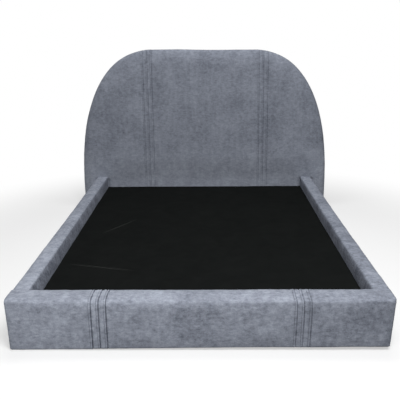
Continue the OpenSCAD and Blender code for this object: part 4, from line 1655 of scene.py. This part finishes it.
@dataclass
class Cloths:
    """The black cloths over the deck and over the headboard's back."""

    headboard: Headboard
    thick: float = 1 * MM
    folds: tuple[tuple[Span, Span, float], ...] = (((-0.718, -0.543), (-0.338, -0.639), 8 * MM),
                                                   ((-0.626, -0.069), (-0.432, 0.223), 7 * MM))
    fold_high: float = 2.0 * MM
    drawn: float = 6 * MM
    drawn_at: Span = (0.50, 0.76)
    drawn_towards: Span = (-0.30, 0.80)
    pushed_over: float = 0.10

    def deck(self) -> None:
        """The deck's cloth, stretched over the panels, with two faint folds."""
        low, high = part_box("deck_cloth")
        size, middle = high - low, (high + low) / 2
        bpy.ops.object.select_all(action="DESELECT")
        bpy.ops.mesh.primitive_grid_add(x_subdivisions=150, y_subdivisions=200, size=1.0)
        piece = bpy.context.object
        piece.name = "deck_black_cloth"
        places = points_of(piece) * np.array((size.x, size.y, 0)) + np.array((middle.x, middle.y, high.z))
        fold = np.zeros(len(places))
        for start, end, wide in self.folds:
            a, b = np.array(start), np.array(end)
            along = (places[:, :2] - a) @ (b - a) / np.dot(b - a, b - a)
            away = places[:, :2] - a - np.clip(along, 0, 1)[:, None] * (b - a)
            ends = np.clip(4 * along * (1 - along), 0, 1)
            fold += bump(np.linalg.norm(away, axis=1), wide) * ends
        drawn = self.drawn * ramp(places[:, 0], *self.drawn_at)
        places[:, 0] += drawn * ramp(-places[:, 1], *self.drawn_towards)
        pushed = ramp(places[:, 1], high.y - self.pushed_over, high.y)
        places[:, 1] += self.headboard.pressed_in * pushed
        soft = 0.35 * MM * (1 + ripple(places, 0.35, 51))
        places[:, 2] += self.fold_high * fold + np.clip(soft, 0, 1.2 * MM)
        move_points(piece, places)
        carry(piece, "fold", np.clip(fold, 0, 1))
        modify(piece, "SOLIDIFY", thickness=self.thick, offset=-1.0)
        dress(piece, MATERIALS["non_woven"])
        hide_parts("deck_cloth")

    def back(self) -> None:
        """The cloth stapled over the headboard's back, with its edge turned in."""
        board = self.headboard
        low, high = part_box("headboard_back_cloth")
        piece = board.sheet_grid("headboard_black_cloth", board.cloth_border, high.y, 110, 90)
        places = points_of(piece)
        inside = np.minimum(board.arch.depth(places) - board.cloth_border,
                            places[:, 2] - board.arch.low - board.cloth_border)
        sag = 0.5 * MM * (1 + ripple(places, 0.30, 61)) * np.clip(inside / (60 * MM), 0, 1)
        places[:, 1] -= np.clip(sag, 0, 1.5 * MM)
        move_points(piece, places)
        carry(piece, "fold", 0.25 * bump(inside - 12 * MM, 3 * MM))
        modify(piece, "SOLIDIFY", thickness=self.thick, offset=-1.0)
        face_outwards(piece)
        dress(piece, MATERIALS["non_woven"])
        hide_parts("headboard_back_cloth")
        outline = board.arch.outline(board.cloth_border, 400)

    def build(self) -> None:
        """Makes both cloths."""
        self.deck()
        self.back()


@dataclass
class Carcass:
    """The boards, timber, legs and fixings, which keep their CAD shapes and get their finishes."""

    def finish_of(self, node: str) -> str:
        """The name of the finish that a CAD node has.

        Args:
            node: the node's name.

        Returns:
            The finish's name.
        """
        rules = (("glides", "plastic"), ("bushes", "plastic"), ("leg_screws", "zinc"), ("leg_", "powder"),
                 ("levelling", "zinc"), ("bracket", "zinc"), ("bolts", "zinc"), ("nuts", "zinc"),
                 ("screws", "zinc"), ("back_board", "hardboard"), ("deck_panel", "ply_top"),
                 ("rail_outer", "ply_side"), ("rail_inner", "ply_side"), ("front", "ply_front"),
                 ("rim", "ply_front"), ("post", "pine_upright"), ("rail_battens", "pine_along"),
                 ("ledger", "pine_along"), ("beam", "pine_along"), ("slat", "pine_across"),
                 ("rail", "pine_across"))
        if node == "foot_rail_back_board":
            return "ply_front"
        if node == "foot_rail_battens":
            return "pine_across"
        return next(finish for word, finish in rules if word in node)

    def build(self) -> None:
        """Gives each CAD node that still shows its finish."""
        for node, piece in sorted(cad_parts.items()):
            if piece.hide_render:
                continue
            piece.data.materials.clear()
            piece.data.materials.append(MATERIALS[self.finish_of(node)])
            log.info("%s: %s", node, self.finish_of(node))


@dataclass(frozen=True)
class Viewpoint:
    """Where the photograph was taken from, worked out from the bed's own edges."""

    place: Colour = (0.056, -3.393, 1.368)
    pitch: float = 0.28761
    yaw: float = -0.02033
    roll: float = -0.01016
    focal_px: float = 572.53
    picture_px: float = 400.0
    sensor: float = 36.0

    def build(self) -> None:
        """Makes the camera."""
        level = math.cos(self.pitch)
        ahead = Vector((math.sin(self.yaw) * level, math.cos(self.yaw) * level, -math.sin(self.pitch)))
        right = Vector((math.cos(self.yaw), -math.sin(self.yaw), 0.0))
        up = right.cross(ahead)
        turned = math.cos(self.roll) * right + math.sin(self.roll) * up
        upright = -math.sin(self.roll) * right + math.cos(self.roll) * up
        camera = bpy.data.objects.new("camera", bpy.data.cameras.new("camera"))
        camera.data.sensor_width = self.sensor
        camera.data.lens = self.focal_px / self.picture_px * self.sensor
        camera.data.clip_end = 60.0
        turn = Matrix((turned, upright, -ahead)).transposed().to_4x4()
        camera.matrix_world = Matrix.Translation(self.place) @ turn
        bpy.context.scene.collection.objects.link(camera)
        bpy.context.scene.camera = camera


@dataclass
class Studio:
    """A pale floor, a pale background and soft light from above and in front."""

    sky: float = 0.10
    floor_size: float = 30.0
    near: Span = (1.35, 2.6)
    floor_light: float = 0.35
    floor_seen: float = 0.97
    lifted: float = 0.5

    def lamp(self, name: str, place: Colour, target: Colour, size: float, power: float) -> None:
        """Makes one soft square lamp.

        Args:
            name: its name.
            place: where it hangs.
            target: what it points at.
            size: the length of its side.
            power: its power in watts.
        """
        light = bpy.data.lights.new(name, "AREA")
        light.size = size
        light.energy = power
        lamp = bpy.data.objects.new(name, light)
        lamp.location = place
        lamp.rotation_euler = (Vector(target) - Vector(place)).to_track_quat("-Z", "Y").to_euler()
        bpy.context.scene.collection.objects.link(lamp)

    def background(self) -> None:
        """The world: white to the eye and in reflections, dimmer as a light."""
        world = bpy.data.worlds.new("studio")
        world.use_nodes = True
        tree = world.node_tree
        back = tree.nodes["Background"]
        path = tree.nodes.new("ShaderNodeLightPath")
        share = tree.nodes.new("ShaderNodeMath")
        share.operation = "MAXIMUM"
        tree.links.new(path.outputs["Is Camera Ray"], share.inputs[0])
        tree.links.new(path.outputs["Is Glossy Ray"], share.inputs[1])
        level = tree.nodes.new("ShaderNodeMapRange")
        level.inputs["To Min"].default_value = self.sky
        level.inputs["To Max"].default_value = 1.0
        tree.links.new(share.outputs[0], level.inputs["Value"])
        tree.links.new(level.outputs["Result"], back.inputs["Strength"])
        back.inputs["Color"].default_value = (1.0, 1.0, 1.0, 1.0)
        bpy.context.scene.world = world

    def floor(self) -> None:
        """The floor, which keeps the bed's shadow and turns plain white further off."""
        bpy.ops.object.select_all(action="DESELECT")
        bpy.ops.mesh.primitive_plane_add(size=self.floor_size)
        floor = bpy.context.object
        floor.name = "floor"
        shader = Shader("pale_floor")
        seen = shader.node("ShaderNodeLightPath", output="Is Camera Ray")
        dim, bright = (self.floor_light,) * 3, (self.floor_seen,) * 3
        shader.finish(shader.mix(seen, dim, bright), 0.9, Specular_IOR_Level=0.0)
        away = shader.node("ShaderNodeVectorMath", {0: shader.place()}, output="Value", operation="LENGTH")
        share = (self.lifted + (1 - self.lifted) * away.step(*self.near)) * seen
        white = shader.node("ShaderNodeEmission", {"Color": (1.0, 1.0, 1.0), "Strength": 1.0})
        surface = Wire(shader, shader.surface.outputs[0])
        mixed = shader.node("ShaderNodeMixShader", {0: share, 1: surface, 2: white})
        shader.feed(shader.output.inputs["Surface"], mixed)
        floor.data.materials.append(shader.material)

    def build(self) -> None:
        """Makes the floor, the background and the lamps."""
        self.background()
        self.floor()
        self.lamp("overhead_front", (0.6, -2.6, 3.2), (0.3, -1.3, 0.2), 1.3, 102.0)
        self.lamp("overhead_left", (-0.8, 0.2, 3.2), (-0.4, 0.1, 0.2), 1.3, 25.0)
        self.lamp("overhead_right", (0.9, 0.2, 3.2), (0.45, 0.1, 0.2), 1.3, 24.0)
        self.lamp("low_front", (-0.8, -2.4, 0.6), (-0.2, -0.6, 0.3), 1.2, 6.5)
        bpy.context.scene.view_settings.view_transform = "Standard"


MATERIALS: dict[str, Material] = {}


def make_materials() -> None:
    """Makes every finish once."""
    MATERIALS.update({
        "velour": VELOUR.material(), "non_woven": NON_WOVEN.material(), "foam": FOAM.material(),
        "hardboard": HARDBOARD.material(), "plastic": PLASTIC.material(), "zinc": ZINC.material(),
        "powder": POWDER.material(), "thread": THREAD.material(),
        "pine_across": Timber(Grain.ACROSS).material(), "pine_along": Timber(Grain.ALONG).material(),
        "pine_upright": Timber(Grain.UPRIGHT).material(), "ply_side": Plywood(Grain.ACROSS).material(),
        "ply_front": Plywood(Grain.ALONG).material(), "ply_top": Plywood(Grain.UPRIGHT).material()})


def main() -> None:
    """Builds the bed and its studio."""
    logging.basicConfig(level=logging.INFO, format="%(message)s")
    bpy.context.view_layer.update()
    make_materials()
    Viewpoint().build()
    headboard = Headboard()
    headboard.build()
    Base().build()
    Cloths(headboard).build()
    Carcass().build()
    Studio().build()


if __name__ == "__main__":
    main()
